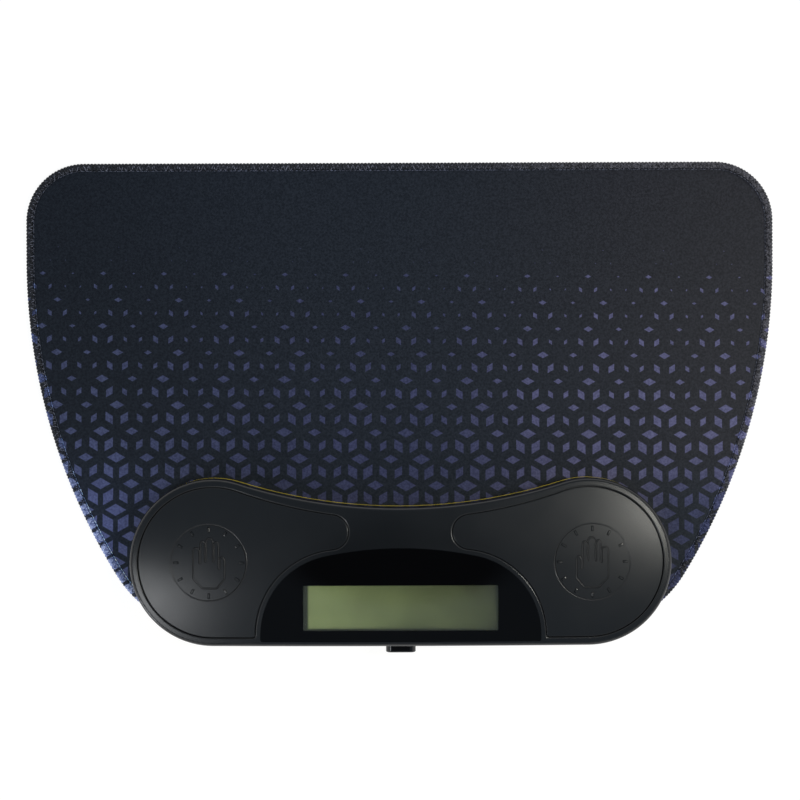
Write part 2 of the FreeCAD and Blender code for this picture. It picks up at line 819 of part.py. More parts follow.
def display_window():
    return crown_layer(panel_outline(-window_clearance), window_sunk, window_thickness)


def window_mask():
    """The print on the back of the window, open where the display is read."""
    mask = crown_layer(panel_outline(-window_clearance), window_sunk + window_thickness, mask_thickness)
    half_x, half_y = glass_x - view_margin_x, glass_half_y - view_margin_y
    return mask.cut(rounded_box(0, view_y, half_x, half_y, view_corner_r, base_z, high_z))


def lcd_glass():
    return block((-glass_x, glass_x), (glass_front_y, glass_back_y), (glass_z, glass_top))


def lcd_reflector():
    reach = glass_x - reflector_inset
    back = glass_back_y - 2 * strip_inset - strip_width
    return block((-reach, reach), (glass_front_y + strip_inset, back), (reflector_z, glass_z))


def lcd_connector_strip():
    """Striped rubber that carries the signals from the board up to the glass."""
    reach = glass_x - strip_end_inset
    back = glass_back_y - strip_inset
    return block((-reach, reach), (back - strip_width, back), (board_top, glass_z))


def lcd_frame():
    """The frame that holds glass, reflector and strip on the board, with a lip over the glass."""
    outside, lip, room = frame_clearance + frame_wall, frame_lip_reach, frame_clearance
    body = rounded_box(0, view_y, glass_x + outside, glass_half_y + outside, frame_corner_r, board_top,
                       frame_top)
    seat = block((-glass_x - room, glass_x + room), (glass_front_y - room, glass_back_y + room),
                 (board_top - past, glass_top))
    window = rounded_box(0, view_y, glass_x - lip, glass_half_y - lip, view_corner_r, board_top,
                         frame_top + past)
    return body.cut([seat, window])


def main_circuit_board():
    half_y = (board_back_y - board_front_y) / 2
    board = rounded_box(0, board_front_y + half_y, board_x, half_y, board_corner_r, board_z, board_top)
    return board.cut(posts(board_post_places(), small_screw_r + hole_clearance, board_z - past,
                           board_top + past))


def timer_chip():
    """The timing chip under its drop of resin, on the underside of the board."""
    radius = (chip_r ** 2 + chip_height ** 2) / (2 * chip_height)
    ball = Part.makeSphere(radius, Vector(chip_x, view_y, board_z - chip_height + radius))
    return ball.common(block((chip_x - radius, chip_x + radius), (view_y - radius, view_y + radius),
                             (board_z - radius, board_z)))


def quartz_crystal():
    start = Vector(crystal_x, view_y, board_z - crystal_r)
    can = Part.makeCylinder(crystal_r, crystal_length, start, Vector(1, 0, 0))
    return can.makeChamfer(crystal_bevel, end_edges(can))


# Power button

def power_button():
    tip_y = front_y - button_proud
    cap = stadium(button_width / 2, button_height / 2, tip_y, flange_y + embed)
    cap = cap.makeFillet(button_round, [edge for edge in cap.Edges if edge.BoundBox.YMax < tip_y + touch])
    flange = stadium(button_width / 2 + button_flange_reach_x, button_height / 2 + button_flange_reach_z,
                     flange_y, flange_y + button_flange)
    return united([cap, flange, rod(button_stem_r, flange_y, stem_y)])


def power_switch():
    body = block((-switch_width / 2, switch_width / 2), (switch_y, switch_y + switch_depth),
                 (switch_z - switch_height / 2, board_z))
    bore_depth = plunger_grip + button_travel + plunger_end_gap
    return body.cut(rod(plunger_r + plunger_clearance, switch_y - past, switch_y + bore_depth))


def power_switch_plunger():
    return rod(plunger_r, stem_y, switch_y + plunger_grip)


# Battery bay

def battery_door():
    door = united([door_plate(0, door_z, door_top)] + door_tongues(0))
    cuts = [post(door_screw_x, bay_y, small_screw_r + hole_clearance, door_z - past, door_top + past),
            post(door_screw_x, bay_y, small_head_r + hole_clearance, door_z - past, door_head_z)]
    for index in range(grip_count):
        x = -door_x + grip_from_end + index * grip_pitch
        cuts.append(block((x, x + grip_width), (bay_y - grip_length / 2, bay_y + grip_length / 2),
                          (door_z - past, door_z + grip_depth)))
    return door.cut(cuts)


def battery_door_screw():
    tip_z = floor_z + door_boss_height - 2 * embed
    return screw(door_screw_x, bay_y, door_head_z, tip_z, small_head_r, small_head_height, small_screw_r)


def cell_y(side):
    return bay_y + side * (cell_r + cell_clearance / 2)


def cell(side):
    """One dry cell. Its nub points to the +X end on one side of the bay, and to -X on the other."""
    y, start_x = cell_y(side), side * (cell_length / 2 - embed)
    can = Part.makeCylinder(cell_r, cell_length, Vector(-cell_length / 2, y, cell_z), Vector(1, 0, 0))
    can = can.makeChamfer(cell_bevel, end_edges(can))
    nub = Part.makeCylinder(cell_nub_r, cell_nub_length + embed, Vector(start_x, y, cell_z),
                            Vector(side, 0, 0))
    return united([can, nub])


def battery_contacts():
    """Four spring strips, each bowed from the bay's end wall towards the end of its cell."""
    contacts = []
    half_height, half_width = contact_height / 2, contact_width / 2
    for end, side in ((1, 1), (1, -1), (-1, 1), (-1, -1)):
        reach = cell_length / 2 + contact_play + (cell_nub_length if end == side else 0.0)
        arcs = []
        for foot, touch in ((bay_x - contact_thickness, reach), (bay_x, reach + contact_thickness)):
            y = cell_y(side) - half_width
            arcs.append([Vector(end * foot, y, cell_z - half_height), Vector(end * touch, y, cell_z),
                         Vector(end * foot, y, cell_z + half_height)])
        inner, outer = arcs
        outline = [Part.Arc(*inner).toShape(), Part.makeLine(inner[2], outer[2]),
                   Part.Arc(*reversed(outer)).toShape(), Part.makeLine(outer[0], inner[0])]
        contacts.append(Part.Face(Part.Wire(outline)).extrude(Vector(0, contact_width, 0)))
    return Part.makeCompound(contacts)


# Cables

def bent_path(points, radius):
    """Straight runs joined by tangent arcs of one radius."""
    edges, start = [], points[0]
    for before, corner, after in zip(points, points[1:], points[2:]):
        back, ahead = (before - corner).normalize(), (after - corner).normalize()
        half_turn = (math.pi - back.getAngle(ahead)) / 2
        cut = radius * math.tan(half_turn)
        first, last = corner + back * cut, corner + ahead * cut
        middle = corner + (back + ahead).normalize() * (radius / math.cos(half_turn) - radius)
        edges += [Part.makeLine(start, first), Part.Arc(first, middle, last).toShape()]
        start = last
    edges.append(Part.makeLine(start, points[-1]))
    return Part.Wire(edges)


def left_sensor_ribbon():
    """Flat cable from the sensor board up to the underside of the main board."""
    half = ribbon_thickness / 2
    low, high, y = dome_z + half, board_z - half, lobe_y - ribbon_ahead
    start, end = sensor_board_length / 2 - lobe_x, -board_x
    rise_run = ribbon_rise_share * (end - start)
    points = [Vector(start - ribbon_overlap, y, low), Vector(start + rise_run, y, low),
              Vector(end - rise_run, y, high), Vector(end + ribbon_overlap, y, high)]
    corners = [(-1, -1), (1, -1), (1, 1), (-1, 1), (-1, -1)]
    section = Part.makePolygon([points[0] + Vector(0, sy * ribbon_width / 2, sz * half)
                                for sy, sz in corners])
    return bent_path(points, ribbon_bend).makePipeShell([section], True, False)


def battery_lead(index):
    """One insulated wire from a contact, out of the bay and up to the underside of the main board."""
    y = lead_places()[index]
    out = bay_x + bay_wall + wire_reach + (1 - index) * wire_step
    landing = board_back_y - wire_landing
    points = [Vector(bay_x - contact_thickness / 2, y, lead_z), Vector(out, y, lead_z),
              Vector(out, landing, lead_z), Vector(out, landing, board_z)]
    circle = Part.Wire(Part.makeCircle(wire_r, points[0], Vector(1, 0, 0)))
    return bent_path(points, wire_bend).makePipeShell([circle], True, False)


def rubber_feet():
    feet = []
    for foot in posts(foot_places(), foot_r, mat_top, base_z + foot_recess):
        feet.append(foot.makeChamfer(foot_bevel, level_edges(foot, mat_top)))
    return Part.makeCompound(feet)


def nodes():
    """Every piece by its name, each in its own place."""
    pad, board = left_hand_pad(), left_sensor_board()
    domes, ribbon = left_contact_domes(), left_sensor_ribbon()
    return {
        "mat_rubber_base": mat_rubber_base(),
        "mat_cloth_top": mat_layer(rubber_thickness, mat_top),
        "mat_edge_stitching": mat_edge_stitching(),
        "mat_studs": mat_studs(),
        "lower_casing": lower_casing(),
        "upper_casing": upper_casing(),
        "left_hand_pad": pad,
        "right_hand_pad": mirrored(pad),
        "left_contact_domes": domes,
        "right_contact_domes": mirrored(domes),
        "left_sensor_board": board,
        "right_sensor_board": mirrored(board),
        "left_sensor_ribbon": ribbon,
        "right_sensor_ribbon": mirrored(ribbon),
        "sensor_board_screws": sensor_board_screws(),
        "display_window": display_window(),
        "window_mask": window_mask(),
        "lcd_glass": lcd_glass(),
        "lcd_reflector": lcd_reflector(),
        "lcd_frame": lcd_frame(),
        "lcd_connector_strip": lcd_connector_strip(),
        "main_circuit_board": main_circuit_board(),
        "timer_chip": timer_chip(),
        "quartz_crystal": quartz_crystal(),
        "board_screws": board_screws(),
        "power_button": power_button(),
        "power_switch": power_switch(),
        "power_switch_plunger": power_switch_plunger(),
        "battery_door": battery_door(),
        "battery_door_screw": battery_door_screw(),
        "battery_cells": Part.makeCompound([cell(1), cell(-1)]),
        "battery_contacts": battery_contacts(),
        "battery_lead_positive": battery_lead(0),
        "battery_lead_negative": battery_lead(1),
        "casing_screws": casing_screws(),
        "rubber_feet": rubber_feet(),
    }


os.makedirs("parts", exist_ok=True)
for name, shape in nodes().items():
    print(f"{name:24s} valid {shape.isValid()}  solids {len(shape.Solids)}  volume {shape.Volume:10.1f}")
    shape.exportStep(f"parts/{name}.step")
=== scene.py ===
import bmesh
import bpy
import math
import numpy as np
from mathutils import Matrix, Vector


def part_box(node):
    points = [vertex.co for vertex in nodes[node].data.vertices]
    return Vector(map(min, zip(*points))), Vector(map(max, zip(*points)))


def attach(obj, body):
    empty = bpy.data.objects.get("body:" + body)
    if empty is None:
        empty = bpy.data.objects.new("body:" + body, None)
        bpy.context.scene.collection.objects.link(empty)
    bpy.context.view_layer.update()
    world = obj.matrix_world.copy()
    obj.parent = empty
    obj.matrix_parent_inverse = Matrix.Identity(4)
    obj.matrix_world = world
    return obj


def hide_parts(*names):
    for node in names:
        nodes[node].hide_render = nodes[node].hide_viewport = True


# A speed cube timer snapped onto its printed cloth mat, seen from straight above.
# The case, window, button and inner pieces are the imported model's own. This file adds the cloth,
# its overlocked edge and the moulded signs on the hand pads, and gives everything its finish.

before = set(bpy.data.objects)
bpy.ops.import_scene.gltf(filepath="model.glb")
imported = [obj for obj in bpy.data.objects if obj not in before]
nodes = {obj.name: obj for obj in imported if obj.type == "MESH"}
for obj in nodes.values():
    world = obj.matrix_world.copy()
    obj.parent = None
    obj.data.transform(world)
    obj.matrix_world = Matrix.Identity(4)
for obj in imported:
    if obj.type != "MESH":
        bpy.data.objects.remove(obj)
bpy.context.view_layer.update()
mm = 0.001

# Size and plan of the mat, and the dome of the case, as the solids have them, in millimetres
matPlan = {
    "width": 405.0,
    "depth": 254.6,
    "backY": 132.0,
    "backCornerR": 31.5,
    "frontCornerR": 65.0,
    "sideR": 325.0,
    "widestFromBack": 53.0,
    "top": 3.0,
    "arcPoints": 240,       # on each arc of the outline, before it is divided evenly
}
caseDome = {
    "top": 27.0,
    "lengthR": 1500.0,
    "depthR": 450.0,
    "lobeX": 100.4,
    "lobeY": -83.35,
}


# Camera and light

cameraSetup = {
    "lens": 100.0,          # mm
    "sensor": 36.0,         # mm
    "height": 1208.0,       # mm above the table
    "aimY": 3.2,            # mm, the middle of the photograph
    "roll": -0.2,           # degrees, as the camera hung a little askew
}
lampSetup = {
    # round softboxes, in metres
    "right": {"place": (0.459, 0.021, 0.712), "size": 0.20, "watts": 2.12, "colour": "#fffdf3"},
    "left": {"place": (-0.400, -0.256, 0.721), "size": 0.20, "watts": 0.57, "colour": "#fbfdff"},
    "low": {"place": (-0.72, -0.56, 0.36), "size": 0.26, "watts": 1.3, "colour": "#f4f8ff"},
}
lampAim = (0, -0.05, 0)     # the middle of the case, which every softbox faces
skySetup = {
    "horizon": "#ffffff",
    "high": "#75818d",
    "from": 0.40,           # height on a sky of radius 1 where the pale sides start to darken
    "to": 0.80,
    "camera": "#30353a",    # the camera and its stand, straight above the table
    "cameraAt": (0, -0.062, 0.998),
    "cameraReach": (0.155, 0.10),
}
tableSetup = {
    "size": 8.0,            # metres
    "below": 0.2,           # mm under the mat, so that the two faces don't meet
    "paper": "#f4f4f4",
    "glow": 1.12,           # of white, so that the paper seen is white where no shadow falls
    "glowShare": 0.8,       # the rest is lit by the lamps and keeps the shadow
}
colourMix = {"out": 2, "data_type": "RGBA"}     # a Mix node's inputs are then 0 share, 6 and 7 colours
smoothly = {"interpolation_type": "SMOOTHSTEP"}
noiseLow, noiseHigh = 0.3, 0.7                  # between which nearly all of a noise lies


def linear(code):
    # sRGB hex to linear light
    parts = np.array([int(code[i:i + 2], 16) for i in (1, 3, 5)]) / 255.0
    lit = np.where(parts <= 0.04045, parts / 12.92, ((parts + 0.055) / 1.055) ** 2.4)
    return [float(c) for c in lit] + [1.0]


def addNode(tree, kind, links=None, out=0, **settings):
    # adds one node, sets it, fills or links its inputs, and gives back one of its outputs
    node = tree.nodes.new("ShaderNode" + kind)
    for name, value in settings.items():
        setattr(node, name, value)
    for key, value in (links or {}).items():
        if isinstance(value, bpy.types.NodeSocket):
            tree.links.new(value, node.inputs[key])
        else:
            node.inputs[key].default_value = linear(value) if isinstance(value, str) else value
    return node.outputs[out]


def makeCamera():
    data = bpy.data.cameras.new("overheadCamera")
    data.lens = cameraSetup["lens"]
    data.sensor_width = cameraSetup["sensor"]
    camera = bpy.data.objects.new("overheadCamera", data)
    camera.location = (0, cameraSetup["aimY"] * mm, cameraSetup["height"] * mm)
    camera.rotation_euler = (0, 0, math.radians(cameraSetup["roll"]))
    bpy.context.scene.collection.objects.link(camera)
    bpy.context.scene.camera = camera


def makeLamps():
    for name, lamp in lampSetup.items():
        data = bpy.data.lights.new(name + "Softbox", "AREA")
        data.shape = "DISK"
        data.size = lamp["size"]
        data.energy = lamp["watts"]
        data.color = linear(lamp["colour"])[:3]
        softbox = bpy.data.objects.new(name + "Softbox", data)
        softbox.location = lamp["place"]
        aim = Vector(lamp["place"]) - Vector(lampAim)
        softbox.rotation_euler = aim.to_track_quat("Z", "Y").to_euler()
        bpy.context.scene.collection.objects.link(softbox)


def makeSky():
    # dark overhead, as behind the camera in a studio, and pale round the sides
    world = bpy.data.worlds.new("studio")
    bpy.context.scene.world = world
    world.use_nodes = True
    tree = world.node_tree
    tree.nodes.clear()
    way = addNode(tree, "TexCoord", out=0)
    height = addNode(tree, "SeparateXYZ", {0: way}, out=2)
    rise = addNode(tree, "MapRange", {0: height, 1: skySetup["from"], 2: skySetup["to"]}, **smoothly)
    tint = addNode(tree, "Mix", {0: rise, 6: skySetup["horizon"], 7: skySetup["high"]}, **colourMix)
    away = addNode(tree, "VectorMath", {0: way, 1: skySetup["cameraAt"]}, out=1, operation="DISTANCE")
    far, near = skySetup["cameraReach"]
    shade = addNode(tree, "MapRange", {0: away, 1: far, 2: near}, **smoothly)
    tint = addNode(tree, "Mix", {0: shade, 6: tint, 7: skySetup["camera"]}, **colourMix)
    light = addNode(tree, "Background", {0: tint, 1: 1.0})
    white = addNode(tree, "Background", {0: "#ffffff", 1: 1.0})
    seen = addNode(tree, "LightPath", out=0)
    both = addNode(tree, "MixShader", {0: seen, 1: light, 2: white})
    output = tree.nodes.new("ShaderNodeOutputWorld")
    tree.links.new(both, output.inputs[0])


def makeFloor():
    # a matt white table that keeps the soft shadow and reads as white paper
    bpy.ops.mesh.primitive_plane_add(size=tableSetup["size"], location=(0, 0, -tableSetup["below"] * mm))
    floor = bpy.context.object
    floor.name = "tableTop"
    material = bpy.data.materials.new("whitePaperTable")
    material.use_nodes = True
    tree = material.node_tree
    tree.nodes.clear()
    paper = addNode(tree, "BsdfDiffuse", {0: tableSetup["paper"]})
    glow = addNode(tree, "Emission", {0: "#ffffff", 1: tableSetup["glow"]})
    path = tree.nodes.new("ShaderNodeLightPath")
    direct = addNode(tree, "Math", {0: path.outputs["Is Camera Ray"], 1: path.outputs["Is Glossy Ray"]},
                     operation="MAXIMUM")
    share = addNode(tree, "Math", {0: direct, 1: tableSetup["glowShare"]}, operation="MULTIPLY")
    both = addNode(tree, "MixShader", {0: share, 1: paper, 2: glow})
    output = tree.nodes.new("ShaderNodeOutputMaterial")
    tree.links.new(both, output.inputs[0])
    floor.data.materials.append(material)


# Finishes

def newFinish(name):
    material = bpy.data.materials.new(name)
    material.use_nodes = True
    tree = material.node_tree
    return material, tree, tree.nodes["Principled BSDF"]


def setShader(shader, **values):
    for name, value in values.items():
        shader.inputs[name.replace("_", " ")].default_value = value


printPattern = {
    "pitch": 16.443,        # mm between cubes of one row
    "startX": 3.1,          # mm, middle of a large cube
    "startY": -47.9,
    "turn": -0.7,           # degrees, the print lies a little off the mat's own line
    "stretch": 1.0075,      # jersey gives across the mat when it is bonded to the rubber
    "lean": 0.0080,         # how far the columns lean, as it was pulled askew
    "fan": 0.0000718,       # how much they spread for each mm nearer the user
    "tilt": 0.0023,         # how far the rows run downhill to the right
    "largeAt": 69.9,        # mm, height on the mat where the large cubes' faces have largeShare
    "largeShare": 0.20,     # of full size, at which neighbouring faces touch
    "growth": 0.00393,      # of full size for each mm nearer the user
    "endAt": 84.0,          # mm, height where the print ends
    "endGrowth": 0.0145,
    "columns": 4,           # two columns of large cubes, then two of small ones
    "smallLess": 0.115,     # of full size
    "most": 0.70,
    "inkEdge": (-0.02, 0.05),       # of full size, over which a face's ink fades in
    "threadExtra": 0.13,    # of full size, as the ink spreads in the thread of the edge
}


def askew(tree, place):
    # the place on the print before it was pulled askew: x + lean y + fan x y, y - tilt x
    x, y = [addNode(tree, "SeparateXYZ", {0: place}, out=axis) for axis in (0, 1)]
    fanned = addNode(tree, "Math", {0: y, 1: printPattern["fan"] / mm, 2: 1.0}, operation="MULTIPLY_ADD")
    fanned = addNode(tree, "Math", {0: x, 1: fanned}, operation="MULTIPLY")
    leaning = addNode(tree, "Math", {0: y, 1: printPattern["lean"], 2: fanned}, operation="MULTIPLY_ADD")
    tilted = addNode(tree, "Math", {0: x, 1: -printPattern["tilt"], 2: y}, operation="MULTIPLY_ADD")
    return addNode(tree, "CombineXYZ", {0: leaning, 1: tilted})


def printPlace(tree):
    # the place on the print, from the middle of a large cube
    start = (printPattern["startX"] * mm, printPattern["startY"] * mm, 0)
    place = addNode(tree, "TexCoord", out=3)
    place = addNode(tree, "VectorMath", {0: place, 1: start}, operation="SUBTRACT")
    place = addNode(tree, "VectorRotate", {0: place, 3: -math.radians(printPattern["turn"])},
                    rotation_type="Z_AXIS")
    shrink = (1 / printPattern["stretch"], 1, 1)
    place = addNode(tree, "VectorMath", {0: place, 1: shrink}, operation="MULTIPLY")
    return askew(tree, place)


def nearestFace(tree, place, third):
    # Two slanted coordinates count the diamonds of one lattice, which is turned by thirds of a turn.
    # What is left over of them gives the distance from the middle of the nearest diamond: the short
    # diagonal counts three times. The counts give the place of the cube that the diamond belongs to.
    pitch = printPattern["pitch"] * mm
    row = pitch * math.sqrt(3) / 2
    turn = math.radians(120 * third)
    toReal = np.array([[math.cos(turn), math.sin(turn)], [-math.sin(turn), math.cos(turn)]])
    slants = np.array([[1 / pitch, 1 / (2 * row)], [-1 / pitch, 1 / (2 * row)]]) @ toReal.T
    steps = toReal @ np.array([[pitch / 2, -pitch / 2], [row, row]])
    faceOffset = 1 / 6      # a face's middle lies a third of a row off its cube's, on both coordinates
    counts, leftOver = [], []
    for slant in slants:
        along = addNode(tree, "VectorMath", {0: place, 1: (*slant, 0)}, out=1, operation="DOT_PRODUCT")
        along = addNode(tree, "Math", {0: along, 1: faceOffset}, operation="SUBTRACT")
        counts.append(addNode(tree, "Math", {0: along}, operation="ROUND"))
        leftOver.append(addNode(tree, "Math", {0: along, 1: counts[-1]}, operation="SUBTRACT"))
    across = addNode(tree, "Math", {0: leftOver[0], 1: leftOver[1]}, operation="SUBTRACT")
    upward = addNode(tree, "Math", {0: leftOver[0], 1: leftOver[1]}, operation="ADD")
    across = addNode(tree, "Math", {0: across}, operation="ABSOLUTE")
    upward = addNode(tree, "Math", {0: upward}, operation="ABSOLUTE")
    distance = addNode(tree, "Math", {0: upward, 1: 3.0, 2: across}, operation="MULTIPLY_ADD")
    cell = addNode(tree, "CombineXYZ", {0: counts[0], 1: counts[1]})
    cubeX, cubeY = [addNode(tree, "VectorMath", {0: cell, 1: (*step, 0)}, out=1, operation="DOT_PRODUCT")
                    for step in steps]
    return distance, cubeX, cubeY


def faceSize(tree, cubeX, cubeY, extra):
    # A face's size as a share of full size. It grows towards the user up to a limit, falls steeply
    # to nothing where the print ends, and is less in the columns of small cubes.
    rise, steep = printPattern["growth"] / mm, printPattern["endGrowth"] / mm
    largeAt = (printPattern["largeAt"] - printPattern["startY"]) * mm
    endAt = (printPattern["endAt"] - printPattern["startY"]) * mm
    start = printPattern["largeShare"] + extra
    half = printPattern["columns"] / 2
    column = addNode(tree, "Math", {0: cubeX, 1: printPattern["pitch"] * mm / 2}, operation="DIVIDE")
    column = addNode(tree, "Math", {0: column}, operation="ROUND")
    column = addNode(tree, "Math", {0: column, 1: printPattern["columns"]}, operation="FLOORED_MODULO")
    small = addNode(tree, "Math", {0: column, 1: half - 0.5}, operation="GREATER_THAN")
    size = addNode(tree, "Math", {0: cubeY, 1: -rise, 2: start + rise * largeAt}, operation="MULTIPLY_ADD")
    size = addNode(tree, "Math", {0: size, 1: printPattern["most"] + extra}, operation="MINIMUM")
    ending = addNode(tree, "Math", {0: cubeY, 1: -steep, 2: steep * endAt}, operation="MULTIPLY_ADD")
    size = addNode(tree, "Math", {0: size, 1: ending}, operation="MINIMUM")
    less = {0: small, 1: -printPattern["smallLess"], 2: size}
    return addNode(tree, "Math", less, operation="MULTIPLY_ADD")


def cubePrint(tree, extra=0.0):
    # A traditional tumbling-block pattern. Each cube shows three equal diamonds, a third of a turn
    # apart, so one diamond lattice is read three times, and a face is inked where the distance from
    # its middle is below its size.
    place = printPlace(tree)
    faint, full = printPattern["inkEdge"]
    faces = []
    for third in range(3):
        distance, cubeX, cubeY = nearestFace(tree, place, third)
        size = faceSize(tree, cubeX, cubeY, extra)
        inside = addNode(tree, "Math", {0: size, 1: distance}, operation="SUBTRACT")
        faces.append(addNode(tree, "MapRange", {0: inside, 1: faint, 2: full}))
    printed = addNode(tree, "Math", {0: faces[0], 1: faces[1]}, operation="MAXIMUM")
    return addNode(tree, "Math", {0: printed, 1: faces[2]}, operation="MAXIMUM")


paintedLightSpread = {
    # where each tone of the painted light and shade lies: the middle of a circle, the radius at
    # which the tone starts and the one within which it is full, all in mm
    "right": ((460, 120, 0), 480, 270),
    "rightInkLight": ((300, 0, 0), 290, 190),
    "left": ((-460, 0, 0), 430, 280),
    "nearRightShade": ((160, -80, 0), 62, 20),
    "nearLeftLight": ((-175, -95, 0), 95, 15),
}


def printWithPaintedLight(tree, tones, right="right"):
    # The lamps' light and shade are painted into the tone: the left tone at the left edge, the middle one,
    # a lighter right tone, painted sheen of the right lamp, the middle one again, painted shade by the case
    # at the near right, and a brighter, bluer corner tone, painted light at the near left. In that order.
    leftTone, shade, rightTone, cornerTone = tones
    spread = [("left", leftTone), (right, rightTone), ("nearRightShade", shade), ("nearLeftLight", cornerTone)]
    for part, tone in spread:
        middle, start, full = paintedLightSpread[part]
        place = addNode(tree, "TexCoord", out=3)
        away = addNode(tree, "VectorMath", {0: place, 1: Vector(middle) * mm}, out=1, operation="DISTANCE")
        share = addNode(tree, "MapRange", {0: away, 1: start * mm, 2: full * mm}, **smoothly)
        shade = addNode(tree, "Mix", {0: share, 6: shade, 7: tone}, **colourMix)
    return shade


jersey = {
    "grain": 1.1,           # mm, the loops; they are 0.4 mm in life and are drawn so that they show
    "loop": (0.33, 0.67),   # of the noise, at the foot and the top of a loop
    "patch": 30.0,          # mm, where the cloth took less ink
    "thin": (0.4, 0.62),
    "inkLost": 0.15,
    "bump": 0.12,           # mm
    # each list runs left, middle, right and near left corner: the print's tone with the lamps' painted light
    # and shade in it
    "groundDeep": ["#0f141d", "#131922", "#1b1c22", "#131b28"],
    "groundHigh": ["#1d232c", "#242a34", "#2c2d34", "#232b3a"],
    "inkDeep": ["#343954", "#2f3350", "#4c4c6c", "#474e78"],
    "inkHigh": ["#495070", "#434768", "#626286", "#5b6494"],
}


def printedJersey():
    # Polyester jersey with a sublimation print: matt, with a little sheen and the grain of its loops
    material, tree, shader = newFinish("printedPolyesterJersey")
    inked = cubePrint(tree)
    place = addNode(tree, "TexCoord", out=3)
    grain = addNode(tree, "TexNoise", {0: place, 2: 1 / (jersey["grain"] * mm), 3: 2.0, 4: 0.6})
    loops = addNode(tree, "MapRange", {0: grain, 1: jersey["loop"][0], 2: jersey["loop"][1]})
    patches = addNode(tree, "TexNoise", {0: place, 2: 1 / (jersey["patch"] * mm), 3: 3.0})
    cloudy = addNode(tree, "MapRange", {0: patches, 1: jersey["thin"][0], 2: jersey["thin"][1],
                                        4: jersey["inkLost"]})
    deep, high = [printWithPaintedLight(tree, jersey[tones]) for tones in ("groundDeep", "groundHigh")]
    ground = addNode(tree, "Mix", {0: loops, 6: deep, 7: high}, **colourMix)
    deep, high = [printWithPaintedLight(tree, jersey[tones], "rightInkLight") for tones in ("inkDeep", "inkHigh")]
    ink = addNode(tree, "Mix", {0: loops, 6: deep, 7: high}, **colourMix)
    ink = addNode(tree, "Mix", {0: cloudy, 6: ink, 7: ground}, **colourMix)
    colour = addNode(tree, "Mix", {0: inked, 6: ground, 7: ink}, **colourMix)
    tree.links.new(colour, shader.inputs["Base Color"])
    bump = addNode(tree, "Bump", {"Strength": 0.3, "Distance": jersey["bump"] * mm, "Height": grain})
    tree.links.new(bump, shader.inputs["Normal"])
    setShader(shader, Roughness=0.5, IOR=1.45, Specular_IOR_Level=0.17)
    return material


def overlockThread(name, yarn):
    # Textured polyester thread, printed with the cloth, so that the pattern runs on over the edge.
    # Its plies are 0.15 mm in life; the dark between them is painted shade and the light on them is the
    # thread's own colour with painted glints, drawn at the yarn's grain. The tones carry the same painted
    # light and shade across the mat as the cloth's.
    # The yarn's sparse is where the noise turns from dip to ply.
    material, tree, shader = newFinish(name)
    inked = cubePrint(tree, printPattern["threadExtra"])
    place = addNode(tree, "TexCoord", out=3)
    plies = addNode(tree, "TexNoise", {0: place, 2: 1 / (yarn["grain"] * mm), 3: 2.0, 4: 0.7})
    plies = addNode(tree, "MapRange", {0: plies, 1: yarn["sparse"] - 0.12, 2: yarn["sparse"] + 0.16})
    dip, ply, inkDip, inkPly = [printWithPaintedLight(tree, yarn[part]) for part in ("dip", "ply", "inkDip", "inkPly")]
    plain = addNode(tree, "Mix", {0: plies, 6: dip, 7: ply}, **colourMix)
    printed = addNode(tree, "Mix", {0: plies, 6: inkDip, 7: inkPly}, **colourMix)
    colour = addNode(tree, "Mix", {0: inked, 6: plain, 7: printed}, **colourMix)
    tree.links.new(colour, shader.inputs["Base Color"])
    bump = addNode(tree, "Bump", {"Strength": 0.5, "Distance": 0.12 * mm, "Height": plies})
    tree.links.new(bump, shader.inputs["Normal"])
    setShader(shader, Roughness=0.6, IOR=1.5, Specular_IOR_Level=0.3)
    return material


mouldSkin = {
    "patch": 45.0,          # mm, where hands have polished the plastic
    "polish": 0.03,         # of roughness, either way
    "depth": 0.02,          # mm, of the mould's grain
}


def mouldedPlastic(name, low, high, roughness, grain=0.5, seam=None):
    # ABS from a spark-eroded mould: an even satin skin, whose grain is 0.1 mm in life and is drawn
    # at about 0.5 mm, with a slow change of gloss where hands polish it
    material, tree, shader = newFinish(name)
    place = addNode(tree, "TexCoord", out=3)
    skin = addNode(tree, "TexNoise", {0: place, 2: 1 / (grain * mm), 3: 2.0, 4: 0.6})
    patches = addNode(tree, "TexNoise", {0: place, 2: 1 / (mouldSkin["patch"] * mm), 3: 2.0})
    colour = addNode(tree, "Mix", {0: skin, 6: low, 7: high}, **colourMix)
    # painted shade: between the given heights the colour turns to the dark tone, and is fully that tone
    # above the upper height, just under the seam
    if seam:
        level = addNode(tree, "SeparateXYZ", {0: place}, out=2)
        under = addNode(tree, "MapRange", {0: level, 1: seam["from"] * mm, 2: seam["to"] * mm})
        colour = addNode(tree, "Mix", {0: under, 6: colour, 7: seam["shade"]}, **colourMix)
    tree.links.new(colour, shader.inputs["Base Color"])
    gloss = addNode(tree, "MapRange", {0: patches, 1: noiseLow, 2: noiseHigh,
                                       3: roughness - mouldSkin["polish"],
                                       4: roughness + mouldSkin["polish"]})
    tree.links.new(gloss, shader.inputs["Roughness"])
    bump = addNode(tree, "Bump", {"Strength": 0.12, "Distance": mouldSkin["depth"] * mm, "Height": skin})
    tree.links.new(bump, shader.inputs["Normal"])
    setShader(shader, IOR=1.54)
    return material


hairline = {"length": 9.0, "finer": 14.0, "dull": 0.03}     # mm, how much finer across, of roughness


